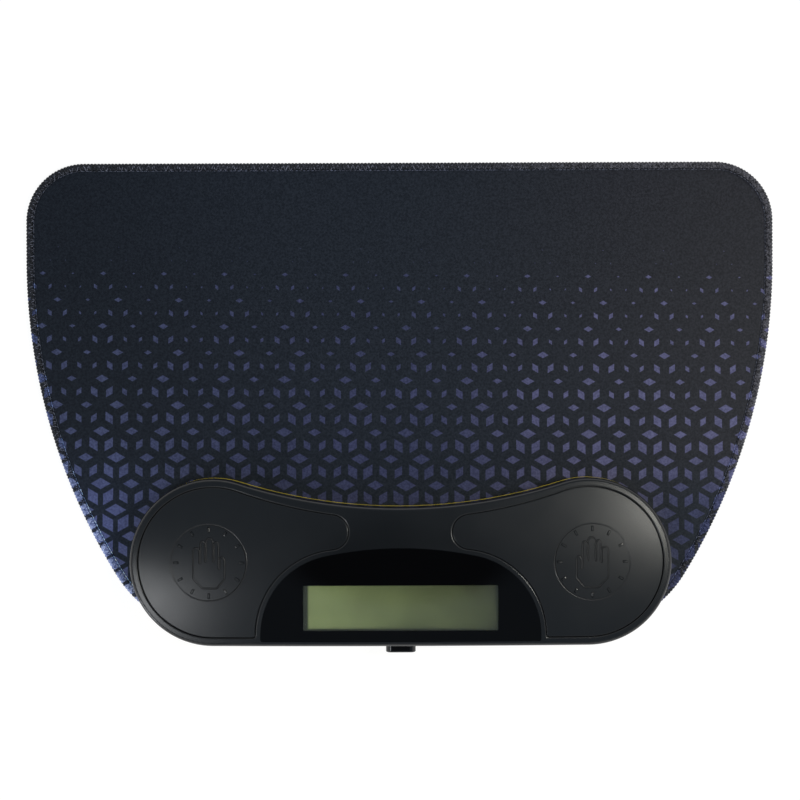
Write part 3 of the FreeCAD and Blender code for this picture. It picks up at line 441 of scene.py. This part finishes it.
def polishedPlastic(name, low, high, roughness=0.06, mirror=0.5):
    # ABS or acrylic from a polished mould: a mirror skin with faint hairlines
    material, tree, shader = newFinish(name)
    place = addNode(tree, "TexCoord", out=3)
    stretched = addNode(tree, "Mapping", {0: place, 3: (1.0, hairline["finer"], 1.0)})
    hairs = addNode(tree, "TexNoise", {0: stretched, 2: 1 / (hairline["length"] * mm), 3: 3.0})
    colour = addNode(tree, "Mix", {0: hairs, 6: low, 7: high}, **colourMix)
    tree.links.new(colour, shader.inputs["Base Color"])
    gloss = addNode(tree, "MapRange", {0: hairs, 1: noiseLow, 2: noiseHigh, 3: roughness,
                                       4: roughness + hairline["dull"]})
    tree.links.new(gloss, shader.inputs["Roughness"])
    setShader(shader, IOR=1.5, Specular_IOR_Level=mirror)
    return material


windowPrint = {
    "middle": (0, -107.575, 0),     # mm, middle of the clear opening
    "half": (51.95, 12.08),         # mm, half its width and depth
    "film": 30.0,                   # mm, patches of the finger film on it
    "gloss": (0.02, 0.05),
    "ink": "#050506",
}


def printedAcrylic():
    # Injection moulded acrylic, clear over the display and printed black on its back elsewhere, with
    # a coat that halves its mirror, as display windows have. The print is given to the whole
    # thickness, as it lies against the back of it.
    material, tree, shader = newFinish("printedMouldedAcrylic")
    place = addNode(tree, "TexCoord", out=3)
    film = addNode(tree, "TexNoise", {0: place, 2: 1 / (windowPrint["film"] * mm), 3: 3.0})
    clean, dull = windowPrint["gloss"]
    gloss = addNode(tree, "MapRange", {0: film, 1: noiseLow, 2: noiseHigh, 3: clean, 4: dull})
    tree.links.new(gloss, shader.inputs["Roughness"])
    middle = Vector(windowPrint["middle"]) * mm
    away = addNode(tree, "VectorMath", {0: place, 1: middle}, operation="SUBTRACT")
    away = addNode(tree, "VectorMath", {0: away}, operation="ABSOLUTE")
    within = []
    for axis, half in enumerate(windowPrint["half"]):
        reach = addNode(tree, "SeparateXYZ", {0: away}, out=axis)
        within.append(addNode(tree, "Math", {0: reach, 1: half * mm}, operation="LESS_THAN"))
    clear = addNode(tree, "Math", {0: within[0], 1: within[1]}, operation="MULTIPLY")
    tree.links.new(clear, shader.inputs["Transmission Weight"])
    colour = addNode(tree, "Mix", {0: clear, 6: windowPrint["ink"], 7: "#ffffff"}, **colourMix)
    tree.links.new(colour, shader.inputs["Base Color"])
    setShader(shader, IOR=1.49, Specular_IOR_Level=0.2)
    return material


displayTone = {
    "near": "#727e53",      # at the left; the tone darkens towards the right
    "far": "#2d3220",
    "fade": 0.8,            # below 1 the tone falls fastest at the left
    "cloud": 25.0,          # mm
    "uneven": 0.06,         # of the way from near to far, either way
    "edge": "#2b3022",      # under the window's print, where no light falls
    "leftBand": (-50.2, -48.7),     # mm, the band shaded by the window's edge
    "frontBand": (-119.2, -118.3),
}


def liquidCrystal():
    # A reflective display with nothing switched on: grey-green, darker towards the right, and
    # shaded where the edge of the window's print keeps the light off it
    material, tree, shader = newFinish("reflectiveLiquidCrystal")
    low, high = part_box("lcd_glass")
    place = addNode(tree, "TexCoord", out=3)
    across, along = [addNode(tree, "SeparateXYZ", {0: place}, out=axis) for axis in (0, 1)]
    share = addNode(tree, "MapRange", {0: across, 1: low.x, 2: high.x})
    share = addNode(tree, "Math", {0: share, 1: displayTone["fade"]}, operation="POWER")
    cloud = addNode(tree, "TexNoise", {0: place, 2: 1 / (displayTone["cloud"] * mm), 3: 2.0})
    cloud = addNode(tree, "MapRange", {0: cloud, 1: 0.35, 2: 0.65, 3: -displayTone["uneven"],
                                       4: displayTone["uneven"]})
    share = addNode(tree, "Math", {0: share, 1: cloud}, operation="ADD")
    tone = addNode(tree, "Mix", {0: share, 6: displayTone["near"], 7: displayTone["far"]}, **colourMix)
    for value, band in ((across, displayTone["leftBand"]), (along, displayTone["frontBand"])):
        lit = addNode(tree, "MapRange", {0: value, 1: band[0] * mm, 2: band[1] * mm}, **smoothly)
        tone = addNode(tree, "Mix", {0: lit, 6: displayTone["edge"], 7: tone}, **colourMix)
    tree.links.new(tone, shader.inputs["Base Color"])
    setShader(shader, Roughness=0.5, IOR=1.5, Specular_IOR_Level=0.1)
    return material


def mouldedRubber(name, low, high, grain):
    # Foamed or moulded rubber: matt, with a fine cell pattern
    material, tree, shader = newFinish(name)
    place = addNode(tree, "TexCoord", out=3)
    cells = addNode(tree, "TexVoronoi", {0: place, 2: 1 / (grain * mm)})
    colour = addNode(tree, "Mix", {0: cells, 6: low, 7: high}, **colourMix)
    tree.links.new(colour, shader.inputs["Base Color"])
    bump = addNode(tree, "Bump", {"Strength": 0.5, "Distance": 0.15 * mm, "Height": cells})
    tree.links.new(bump, shader.inputs["Normal"])
    setShader(shader, Roughness=0.85, IOR=1.5)
    return material


def platedSteel(name, low, high, roughness):
    # Zinc or nickel plate on steel: bright, with the small marks of the tumbling drum
    drumMark = 0.6          # mm
    material, tree, shader = newFinish(name)
    place = addNode(tree, "TexCoord", out=3)
    marks = addNode(tree, "TexNoise", {0: place, 2: 1 / (drumMark * mm), 3: 3.0})
    colour = addNode(tree, "Mix", {0: marks, 6: low, 7: high}, **colourMix)
    tree.links.new(colour, shader.inputs["Base Color"])
    gloss = addNode(tree, "MapRange", {0: marks, 1: noiseLow, 2: noiseHigh, 3: roughness,
                                       4: roughness + 0.15})
    tree.links.new(gloss, shader.inputs["Roughness"])
    setShader(shader, Metallic=1.0)
    return material


def solderMask():
    # Green lacquer over woven glass and copper tracks
    trackPitch = 4.0        # mm
    material, tree, shader = newFinish("greenSolderMask")
    place = addNode(tree, "TexCoord", out=3)
    tracks = addNode(tree, "TexBrick", {
        "Vector": place, "Color1": "#0f5a2c", "Color2": "#156a35", "Mortar": "#0a4420",
        "Scale": 1 / (trackPitch * mm), "Mortar Size": 0.06, "Brick Width": 1.4, "Row Height": 0.3})
    tree.links.new(tracks, shader.inputs["Base Color"])
    setShader(shader, Roughness=0.3, IOR=1.55)
    return material


def stripedSilicone():
    # Layers of conducting and plain silicone, 0.1 mm in life and drawn at 0.5 mm
    bandPitch = 3.0         # mm
    material, tree, shader = newFinish("stripedConnectorSilicone")
    place = addNode(tree, "TexCoord", out=3)
    bands = addNode(tree, "TexWave", {0: place, 1: 1 / (bandPitch * mm)}, bands_direction="X")
    tree.links.new(bands, shader.inputs["Base Color"])
    setShader(shader, Roughness=0.7, IOR=1.41)
    return material


# no light falls on the yellow casing just under its seam, where the cover overhangs
casingSeamShade = {"from": 9.6, "to": 10.7, "shade": "#4c4412"}      # mm above the table


def dressCase():
    satinBlack = mouldedPlastic("satinBlackAbs", "#0a0b0d", "#0f1113", 0.22)
    padBlack = mouldedPlastic("satinBlackAbsPads", "#0c0d0f", "#121416", 0.23)
    yellow = mouldedPlastic("satinYellowAbs", "#d8bc1c", "#e4ca2a", 0.4, seam=casingSeamShade)
    steel = platedSteel("zincPlatedSteel", "#9a9a98", "#c6c6c4", 0.3)
    board = solderMask()
    ribbon = mouldedPlastic("whiteFlatCable", "#cfcfca", "#e4e4e0", 0.4, grain=1.0)
    frameBlack = mouldedPlastic("blackInnerAbs", "#101112", "#1a1b1c", 0.45)
    domes = mouldedRubber("whiteSiliconeDomes", "#bcbcb8", "#d6d6d2", 0.8)
    finishes = {
        "mat_rubber_base": mouldedRubber("foamedRubber", "#141416", "#232326", 1.6),
        "mat_studs": mouldedRubber("mouldedStudRubber", "#17171a", "#222226", 0.8),
        "lower_casing": yellow,
        "battery_door": yellow,
        "upper_casing": satinBlack,
        "left_hand_pad": padBlack,
        "right_hand_pad": padBlack,
        "left_sensor_board": board,
        "right_sensor_board": board,
        "main_circuit_board": board,
        "left_contact_domes": domes,
        "right_contact_domes": domes,
        "left_sensor_ribbon": ribbon,
        "right_sensor_ribbon": ribbon,
        "sensor_board_screws": steel,
        "board_screws": steel,
        "battery_door_screw": steel,
        "casing_screws": steel,
        "display_window": printedAcrylic(),
        # printed on the back of the acrylic, with no air between, so it has no mirror of its own
        "window_mask": polishedPlastic("blackScreenPrint", "#040405", "#070708", 0.35, 0.03),
        "lcd_glass": liquidCrystal(),
        "lcd_reflector": polishedPlastic("greyGreenFoil", "#7c8168", "#8c9176", 0.3),
        "lcd_frame": frameBlack,
        "lcd_connector_strip": stripedSilicone(),
        "timer_chip": polishedPlastic("blackEpoxyDrop", "#0c0c0c", "#151515", 0.15),
        "quartz_crystal": platedSteel("drawnCrystalCan", "#b0b0ae", "#d2d2d0", 0.2),
        "power_button": polishedPlastic("polishedBlackAbs", "#08080a", "#0e0e10"),
        "power_switch": frameBlack,
        "power_switch_plunger": mouldedPlastic("whiteAcetal", "#d8d8d4", "#e6e6e2", 0.3),
        "battery_cells": polishedPlastic("sleevedDryCell", "#2c3a46", "#344654", 0.2),
        "battery_contacts": platedSteel("nickelPlatedSpring", "#b8b4aa", "#dcd8cc", 0.2),
        "battery_lead_positive": polishedPlastic("redPvcInsulation", "#a81408", "#c01a0c", 0.25),
        "battery_lead_negative": polishedPlastic("blackPvcInsulation", "#101010", "#181818", 0.25),
        "rubber_feet": mouldedRubber("softFootRubber", "#161618", "#202022", 0.7),
    }
    for name, finish in finishes.items():
        slots = nodes[name].data.materials
        slots.clear()
        slots.append(finish)
    nodes["display_window"].visible_shadow = False      # clear acrylic lets the lamps' light through


# Surfaces from grids of points

def meshPiece(name, points, faces, finish, smooth):
    mesh = bpy.data.meshes.new(name)
    mesh.from_pydata(points.tolist(), [], faces.tolist())
    mesh.polygons.foreach_set("use_smooth", np.full(len(faces), smooth))
    mesh.materials.append(finish)
    mesh.validate()
    mesh.update()
    piece = bpy.data.objects.new(name, mesh)
    bpy.context.scene.collection.objects.link(piece)
    return piece


def gridMesh(name, points, closedAlong, closedAcross, finish):
    # points is rows x columns x 3. Neighbouring rows and columns make the faces, and a closed
    # direction joins its last row or column to its first.
    rows, columns = points.shape[:2]
    down = np.arange(rows if closedAlong else rows - 1)[:, None]
    over = np.arange(columns if closedAcross else columns - 1)[None, :]
    nextDown, nextOver = (down + 1) % rows, (over + 1) % columns
    corners = [down * columns + over, nextDown * columns + over, nextDown * columns + nextOver,
               down * columns + nextOver]
    shape = (len(down), over.shape[1])
    faces = np.stack([np.broadcast_to(corner, shape) for corner in corners], axis=-1).reshape(-1, 4)
    return meshPiece(name, points.reshape(-1, 3), faces, finish, True)


def turnFaces(piece, mergeBelow=0.0, upward=False):
    # merges points nearer than mergeBelow, then turns every face of a closed piece outwards, or
    # every face of an open sheet up
    work = bmesh.new()
    work.from_mesh(piece.data)
    if mergeBelow:
        bmesh.ops.remove_doubles(work, verts=work.verts, dist=mergeBelow)
    bmesh.ops.recalc_face_normals(work, faces=work.faces)
    if upward and sum(face.normal.z * face.calc_area() for face in work.faces) < 0:
        bmesh.ops.reverse_faces(work, faces=work.faces)
    work.to_mesh(piece.data)
    work.free()


def evenly(points, count):
    # the closed line through points, divided into equal lengths
    ring = np.vstack([points, points[:1]])
    along = np.concatenate([[0], np.cumsum(np.linalg.norm(np.diff(ring, axis=0), axis=1))])
    wanted = np.arange(count) / count * along[-1]
    return np.stack([np.interp(wanted, along, ring[:, i]) for i in range(ring.shape[1])], axis=1), along[-1]


def matOutline(inset, count):
    # The mat's plan: a back corner, a long bowed side and a front corner, each a circular arc, and
    # their mirror images. The front corner's arc runs tangent into the side's.
    plan = matPlan
    side = np.array([plan["width"] / 2 - plan["sideR"], plan["backY"] - plan["widestFromBack"]])
    back = np.array([plan["width"] / 2 - plan["backCornerR"], plan["backY"] - plan["backCornerR"]])
    frontY = plan["backY"] - plan["depth"] + plan["frontCornerR"]
    run = math.sqrt((plan["sideR"] - plan["frontCornerR"]) ** 2 - (frontY - side[1]) ** 2)
    front = np.array([side[0] + run, frontY])
    turn = math.atan2(front[1] - side[1], front[0] - side[0])
    arcs = [(front, plan["frontCornerR"], -math.pi / 2, turn), (side, plan["sideR"], turn, 0),
            (back, plan["backCornerR"], 0, math.pi / 2)]
    right = []
    for centre, radius, low, high in arcs:
        angle = np.linspace(low, high, plan["arcPoints"])
        ring = np.stack([np.cos(angle), np.sin(angle)], axis=1)
        right.append(centre + (radius - inset) * ring)
    right = np.vstack(right)
    left = right[::-1] * [-1, 1]
    return evenly(np.vstack([right, left]), count)


matCloth = {
    "inset": 3.1,           # mm, the cloth's cut edge inside the stitching
    "thickness": 0.5,
    "around": 720,
    "across": 60,
    "crowding": 0.8,        # below 1 the rows of points lie closer near the edge
    "pucker": 0.10,         # mm, how far the stitches draw the cloth down
    "puckerReach": 5.0,
    "puckerPitch": 9.0,
    "puckerDrift": (3.0, 47.0),     # radians and mm, so that the dents aren't quite even
    "puckerLeast": 0.4,
    "wave": 0.06,           # mm, slow unevenness of a mat that has been rolled
    "waveLength": (37.0, 29.0),     # mm for each radian, across and along the mat
    "weld": 1e-6,           # metres
}


def makeCloth():
    # The surface runs from the middle of the mat out to its cut edge. It lies flat, rises and falls
    # as sin(x) cos(y), and is drawn down near the stitching in small dents that fade inwards.
    ring, length = matOutline(matCloth["inset"], matCloth["around"])
    middle = ring.mean(axis=0)
    share = np.linspace(0, 1, matCloth["across"]) ** matCloth["crowding"]
    flat = middle + (ring[None] - middle) * share[:, None, None]
    reach = np.linalg.norm(ring - middle, axis=1)
    fromEdge = (1 - share)[:, None] * reach[None]
    along = np.arange(len(ring)) / len(ring) * length
    drift = matCloth["puckerDrift"][0] * np.sin(along / matCloth["puckerDrift"][1])
    dents = 0.5 + 0.5 * np.cos(2 * np.pi * along / matCloth["puckerPitch"] + drift)
    dents = matCloth["puckerLeast"] + (1 - matCloth["puckerLeast"]) * dents
    drawn = matCloth["pucker"] * np.exp(-fromEdge / matCloth["puckerReach"]) * dents[None]
    waveX, waveY = matCloth["waveLength"]
    wave = matCloth["wave"] * (np.sin(flat[..., 0] / waveX) * np.cos(flat[..., 1] / waveY) - 1) / 2
    height = matPlan["top"] - drawn + wave
    points = np.concatenate([flat, height[..., None]], axis=-1) * mm
    piece = gridMesh("printedMatCloth", points, False, True, printedJersey())
    turnFaces(piece, matCloth["weld"], upward=True)
    solid = piece.modifiers.new("thickness", "SOLIDIFY")
    solid.thickness = matCloth["thickness"] * mm
    solid.offset = -1.0
    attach(piece, "mat")
    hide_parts("mat_cloth_top")


edgeStitch = {
    "pitch": 1.88,          # mm between the threads that wrap the edge
    "samples": 6,
    "bulge": 0.32,          # mm, how far each thread stands out of the band
    "gap": 0.35,            # mm, how much deeper every second dip is, as the threads lie in pairs
    "slant": 0.6,           # threads, how far a thread leans on its way over the band
    # the band's section: distance in from the mat's edge and height, and how much thread shows there
    "section": [
        (3.60, 3.02, 0.2), (3.1, 3.16, 0.6), (2.1, 3.30, 1), (1.1, 3.30, 1), (0.35, 2.92, 1), (0.02, 2.2, 1),
        (0.02, 1.2, 1), (0.35, 0.45, 1), (1.0, 0.06, 0.3), (2.2, 0.01, 0), (3.1, 0.01, 0), (3.1, 2.4, 0),
    ],
    "heart": (1.7, 1.6),    # the point of the section that the dips between threads run towards
    "yarn": {
        "grain": 1.2,       # mm
        "sparse": 0.5,
        "dip": ["#0b0e14", "#0f1218", "#17171c", "#10151f"],
        "ply": ["#1e222b", "#282c36", "#68676f", "#303a56"],
        "inkDip": ["#26304e", "#22284a", "#45456c", "#6c78ae"],
        "inkPly": ["#5b689c", "#4a5078", "#8584ae", "#bccaf2"],
    },
}
looperThread = {
    "inset": 2.75,          # mm, middle of the zigzag
    "swing": 1.45,
    "pitch": 2.7,
    "samples": 8,
    "sharpness": 0.93,      # at 1 the turns are corners
    "radius": 0.2,
    "sides": 6,
    # height of the thread's middle above the table at distances in from the edge
    "over": [(1.0, 3.28), (1.6, 3.34), (2.6, 3.30), (3.6, 3.12), (4.4, 3.08)],
    "yarn": {
        "grain": 1.5,       # mm
        "sparse": 0.56,
        "dip": ["#12151c", "#161920", "#1c1d24", "#182034"],
        "ply": ["#7e8292", "#84879a", "#6c6c78", "#6c80b4"],
        "inkDip": ["#232b46", "#2c3252", "#3c3e60", "#304074"],
        "inkPly": ["#6a76a4", "#646a94", "#8a8cb4", "#92a6de"],
    },
}
needleThread = {
    "inset": 4.25,          # mm, the row of stitches just inside the band
    "pitch": 2.1,
    "length": 1.9,
    "radius": 0.25,
    "height": 3.08,
    "sink": 0.22,           # mm, how far a stitch's ends dip into the cloth
    "rings": 7,
    "sides": 6,
    "yarn": {
        "grain": 1.8,       # mm
        "sparse": 0.5,
        "dip": ["#14171e", "#1a1e26", "#14161c", "#223456"],
        "ply": ["#5a6070", "#5c6278", "#565a68", "#7fa4dc"],
        "inkDip": ["#3a4c7c", "#343c60", "#3c4470", "#7ca4dc"],
        "inkPly": ["#8ca4d8", "#6c78a0", "#8890c0", "#e4f6ff"],
    },
}
lengthPoints = 2000         # enough points on an outline to measure its length


def frameAlong(ring):
    # the direction along a closed flat line at each point, and the direction in from it
    ahead = np.roll(ring, -1, axis=0) - np.roll(ring, 1, axis=0)
    ahead /= np.linalg.norm(ahead, axis=1)[:, None]
    return ahead, np.stack([-ahead[:, 1], ahead[:, 0]], axis=1)


def makeStitchBand():
    # The band is its section carried round the mat's outline. Each thread is a half-round ripple,
    # and the ripples lean, so that the band looks wound.
    wraps = 2 * round(matOutline(0, lengthPoints)[1] / edgeStitch["pitch"] / 2)
    count = wraps * edgeStitch["samples"]
    ring = matOutline(0, count)[0]
    inward = frameAlong(ring)[1]
    section = np.array(edgeStitch["section"])
    turnShare = np.linspace(0, 1, len(section))
    phase = np.arange(count)[:, None] / edgeStitch["samples"] + edgeStitch["slant"] * turnShare[None]
    hump = np.sqrt(np.clip(1 - (2 * (phase % 1) - 1) ** 2, 0, 1))
    paired = edgeStitch["bulge"] + edgeStitch["gap"] * (np.cos(np.pi * phase) ** 2)
    dip = paired * (1 - hump) * section[None, :, 2]
    pull = np.array(edgeStitch["heart"]) - section[:, :2]
    pull /= np.linalg.norm(pull, axis=1)[:, None]
    inset = section[None, :, 0] + dip * pull[None, :, 0]
    height = section[None, :, 1] + dip * pull[None, :, 1]
    flat = ring[:, None] + inward[:, None] * inset[..., None]
    points = np.concatenate([flat, height[..., None]], axis=-1) * mm
    finish = overlockThread("darkOverlockThread", edgeStitch["yarn"])
    band = gridMesh("overlockedMatEdge", points, True, True, finish)
    turnFaces(band)
    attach(band, "mat")
    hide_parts("mat_edge_stitching")


def carried(path, radius, sides, flatten=1.0):
    # a closed path carried round as a tube: at each point a ring of radius in the plane across it,
    # its height times flatten
    ahead = np.roll(path, -1, axis=0) - np.roll(path, 1, axis=0)
    ahead /= np.linalg.norm(ahead, axis=1)[:, None]
    side = np.cross(ahead, [0, 0, 1.0])
    side /= np.linalg.norm(side, axis=1)[:, None]
    up = np.cross(side, ahead)
    turn = np.arange(sides) / sides * 2 * np.pi
    ring = side[:, None] * np.cos(turn)[None, :, None] + up[:, None] * flatten * np.sin(turn)[None, :, None]
    return path[:, None] + radius * ring


def makeLooperThread():
    # The looper's thread lies over the wraps as an even zigzag with round turns: its way in from the
    # edge is the arcsine of a sine.
    thread = looperThread
    turns = int(matOutline(thread["inset"], lengthPoints)[1] / thread["pitch"])
    count = turns * thread["samples"]
    ring = matOutline(thread["inset"], count)[0]
    inward = frameAlong(ring)[1]
    phase = 2 * np.pi * np.arange(count) / thread["samples"]
    swing = thread["swing"] * np.arcsin(thread["sharpness"] * np.sin(phase)) / math.asin(thread["sharpness"])
    flat = ring + inward * swing[:, None]
    height = np.interp(thread["inset"] + swing, *np.array(thread["over"]).T)
    path = np.concatenate([flat, height[:, None]], axis=1)
    points = carried(path, thread["radius"], thread["sides"]) * mm
    finish = overlockThread("paleLooperThread", thread["yarn"])
    piece = gridMesh("edgeLooperThread", points, True, True, finish)
    turnFaces(piece)
    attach(piece, "mat")


def makeNeedleThread():
    # A row of short stitches. Each is a spindle, a circle whose radius grows and shrinks as the root
    # of a sine along the stitch, and its ends dip into the cloth.
    thread = needleThread
    turns = int(matOutline(thread["inset"], lengthPoints)[1] / thread["pitch"])
    ring = matOutline(thread["inset"], turns)[0]
    ahead, inward = frameAlong(ring)
    rings, sides = thread["rings"], thread["sides"]
    share = np.linspace(0, np.pi, rings)
    turn = np.arange(sides) / sides * 2 * np.pi
    along = -np.cos(share) * thread["length"] / 2
    thick = thread["radius"] * np.sqrt(np.sin(share))
    side, up = thick[:, None] * np.cos(turn), thick[:, None] * np.sin(turn)
    level = thread["height"] - thread["sink"] * np.cos(share)[:, None] ** 2
    flat = (ring[:, None, None] + ahead[:, None, None] * along[None, :, None, None]
            + inward[:, None, None] * side[None, :, :, None])
    height = np.broadcast_to(level + up, (turns, rings, sides))
    points = np.concatenate([flat, height[..., None]], axis=-1) * mm
    row = np.arange(rings - 1)[:, None] * sides
    column, following = np.arange(sides)[None], (np.arange(sides)[None] + 1) % sides
    quads = np.stack([row + column, row + following, row + sides + following, row + sides + column], -1)
    faces = np.arange(turns)[:, None, None] * rings * sides + quads.reshape(1, -1, 4)
    finish = overlockThread("needleThread", thread["yarn"])
    stitches = meshPiece("edgeNeedleStitches", points.reshape(-1, 3), faces.reshape(-1, 4), finish, True)
    turnFaces(stitches)
    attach(stitches, "mat")


# Moulded signs on the hand pads

handSign = {
    # corners of a raised hand's outline from the middle of the left pad's dial, in mm, one way round
    "corners": [
        (-8.3, -8.4), (-8.3, 6.4), (-7.5, 7.8), (-5.7, 7.8), (-4.9, 6.4), (-4.9, -0.3), (-4.3, -0.3),
        (-4.3, 10.0), (-3.7, 11.4), (-2.6, 11.4), (-1.9, 10.2), (-1.9, 0.6), (-1.3, 0.6), (-1.3, 11.5),
        (-0.4, 12.9), (1.6, 12.9), (2.4, 11.5), (2.4, 0.6), (3.0, 0.6), (3.0, 9.6), (3.7, 10.9), (4.7, 10.9),
        (5.4, 9.6), (5.4, -3.4), (6.0, -3.4), (6.0, 1.6), (6.8, 3.0), (7.9, 3.0), (8.6, 1.6), (8.6, -8.7),
        (4.4, -13.6), (-3.4, -13.6),
    ],
    "points": 1100,
    "smoothing": 10,        # times that each point goes to the mean of itself and its neighbours
    "halfWidth": 0.34,
    "height": 0.50,
    "crease": 0.56,         # mm, half width of the painted shade line at the ridge's foot
}
# the bead's crease is the half width of its painted shade line
dialBead = {"radius": 20.55, "halfWidth": 0.42, "height": 0.50, "crease": 0.70, "points": 360}
dialTicks = {
    "count": 12,
    "radius": 17.7,
    "length": 2.5,
    "width": 0.95,
    "height": 0.5,
    "root": 0.03,           # mm, how far a tick's foot lies below the dial
    "profile": [(1.0, 0.4), (0.86, 0.85), (0.5, 1.0)],      # shares of its plan and of its height
    "crease": 0.35,         # mm, how much longer and wider its painted shade foot is
    "creaseHeight": 0.05,
}
dial = {
    "shiftX": 2.0,          # mm, from the middle of the lobe outwards
    "sunk": 0.80,           # mm, of its floor below the dome
    "seat": 0.02,           # mm, of a ridge's middle line below the floor
    "sides": 8,
    "creaseHeight": 0.06,
}


def domeHeight(x, y, sunk):
    # the case's dome is a slice of a ring: its height falls with the circle across and along
    fall = caseDome["depthR"] - np.sqrt(caseDome["depthR"] ** 2 - (y - caseDome["lobeY"]) ** 2)
    span = caseDome["lengthR"] - fall
    return caseDome["top"] - sunk - caseDome["lengthR"] + np.sqrt(span ** 2 - x ** 2)


def paintedCreaseShade():
    # painted shade at the foot of each ridge: a matt dark line where no light falls, as the mould's walls
    # meet there
    grain = 0.5             # mm
    material, tree, shader = newFinish("shadedMouldCrease")
    place = addNode(tree, "TexCoord", out=3)
    skin = addNode(tree, "TexNoise", {0: place, 2: 1 / (grain * mm), 3: 2.0})
    colour = addNode(tree, "Mix", {0: skin, 6: "#030304", 7: "#070708"}, **colourMix)
    tree.links.new(colour, shader.inputs["Base Color"])
    setShader(shader, Roughness=0.5, Specular_IOR_Level=0.12)
    return material


def padPiece(name, side, points, finish):
    # a closed tube that moves with its pad
    piece = gridMesh(side + name, points * mm, True, True, finish)
    turnFaces(piece)
    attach(piece, side + "_pad")


def makeRidge(name, side, flat, sizes, finish, crease):
    # a low ridge with a rounded top along the closed flat line, and a dark ribbon of painted shade for
    # the crease it stands in: both are flattened tubes carried along the line
    height = domeHeight(flat[:, 0], flat[:, 1], dial["sunk"] + dial["seat"])
    line = np.concatenate([flat, height[:, None]], axis=1)
    ridge = carried(line, sizes["halfWidth"], dial["sides"], sizes["height"] / sizes["halfWidth"])
    foot = carried(line, sizes["crease"], dial["sides"], dial["creaseHeight"] / sizes["crease"])
    padPiece(name, side, ridge, finish)
    padPiece(name + "Crease", side, foot, crease)


def makeTicks(name, side, middle, extra, high, finish):
    # small bars with sloping sides, evenly round the dial; each is a stack of four-cornered rings
    # that narrow upwards, with a floor and a top
    count = dialTicks["count"]
    angle = 2 * np.pi * np.arange(count) / count
    out = np.stack([np.cos(angle), np.sin(angle)], axis=1)[:, None, None]
    over = np.stack([-np.sin(angle), np.cos(angle)], axis=1)[:, None, None]
    rings = [(1.0, -dialTicks["root"])] + [(share, rise * high) for share, rise in dialTicks["profile"]]
    rings = np.array(rings)
    corners = np.array([(-1, -1), (1, -1), (1, 1), (-1, 1)]) / 2
    long = corners[None, :, :1] * rings[:, None, :1] * (dialTicks["length"] + extra)
    wide = corners[None, :, 1:] * rings[:, None, :1] * (dialTicks["width"] + extra)
    flat = out * (dialTicks["radius"] + long[None]) + over * wide[None] + middle
    height = domeHeight(flat[..., 0], flat[..., 1], dial["sunk"]) + rings[None, :, None, 1]
    points = np.concatenate([flat, height[..., None]], axis=-1).reshape(-1, 3) * mm
    level = np.arange(len(rings) - 1)[:, None] * 4
    corner, following = np.arange(4)[None], (np.arange(4)[None] + 1) % 4
    walls = np.stack([level + corner, level + following, level + 4 + following, level + 4 + corner], -1)
    floor, top = np.array([[3, 2, 1, 0]]), 4 * (len(rings) - 1) + np.arange(4)[None]
    bar = np.concatenate([walls.reshape(-1, 4), floor, top])
    faces = (np.arange(count)[:, None, None] * 4 * len(rings) + bar[None]).reshape(-1, 4)
    ticks = meshPiece(side + name, points, faces, finish, False)
    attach(ticks, side + "_pad")


def makeDials(finish):
    # on each pad: the raised outline of a hand, the bead round the dial and the ticks inside it, each with a
    # dark ribbon of painted shade at its foot
    crease = paintedCreaseShade()
    hand = evenly(np.array(handSign["corners"]), handSign["points"])[0]
    for _ in range(handSign["smoothing"]):
        hand = (np.roll(hand, 1, axis=0) + hand + np.roll(hand, -1, axis=0)) / 3
    turn = np.arange(dialBead["points"]) / dialBead["points"] * 2 * np.pi
    ring = dialBead["radius"] * np.stack([np.cos(turn), np.sin(turn)], axis=1)
    for side, sign in (("left", -1), ("right", 1)):
        middle = np.array([sign * (caseDome["lobeX"] + dial["shiftX"]), caseDome["lobeY"]])
        makeRidge("HandSign", side, hand * [-sign, 1] + middle, handSign, finish, crease)
        makeRidge("DialBead", side, ring + middle, dialBead, finish, crease)
        makeTicks("DialTicks", side, middle, 0.0, dialTicks["height"], finish)
        # painted shade at each tick's foot: a dark flat bar a little larger than the tick
        makeTicks("DialTickPaintedCreaseShadows", side, middle, dialTicks["crease"], dialTicks["creaseHeight"], crease)


bpy.context.scene.view_settings.view_transform = "Standard"
makeCamera()
makeLamps()
makeSky()
makeFloor()
print("camera, lamps and table are set")
dressCase()
print("the case and its inner pieces have their finishes")
makeCloth()
makeStitchBand()
makeLooperThread()
makeNeedleThread()
print("the mat's cloth and edge are made")
makeDials(nodes["left_hand_pad"].data.materials[0])
print("the pads' signs are made")
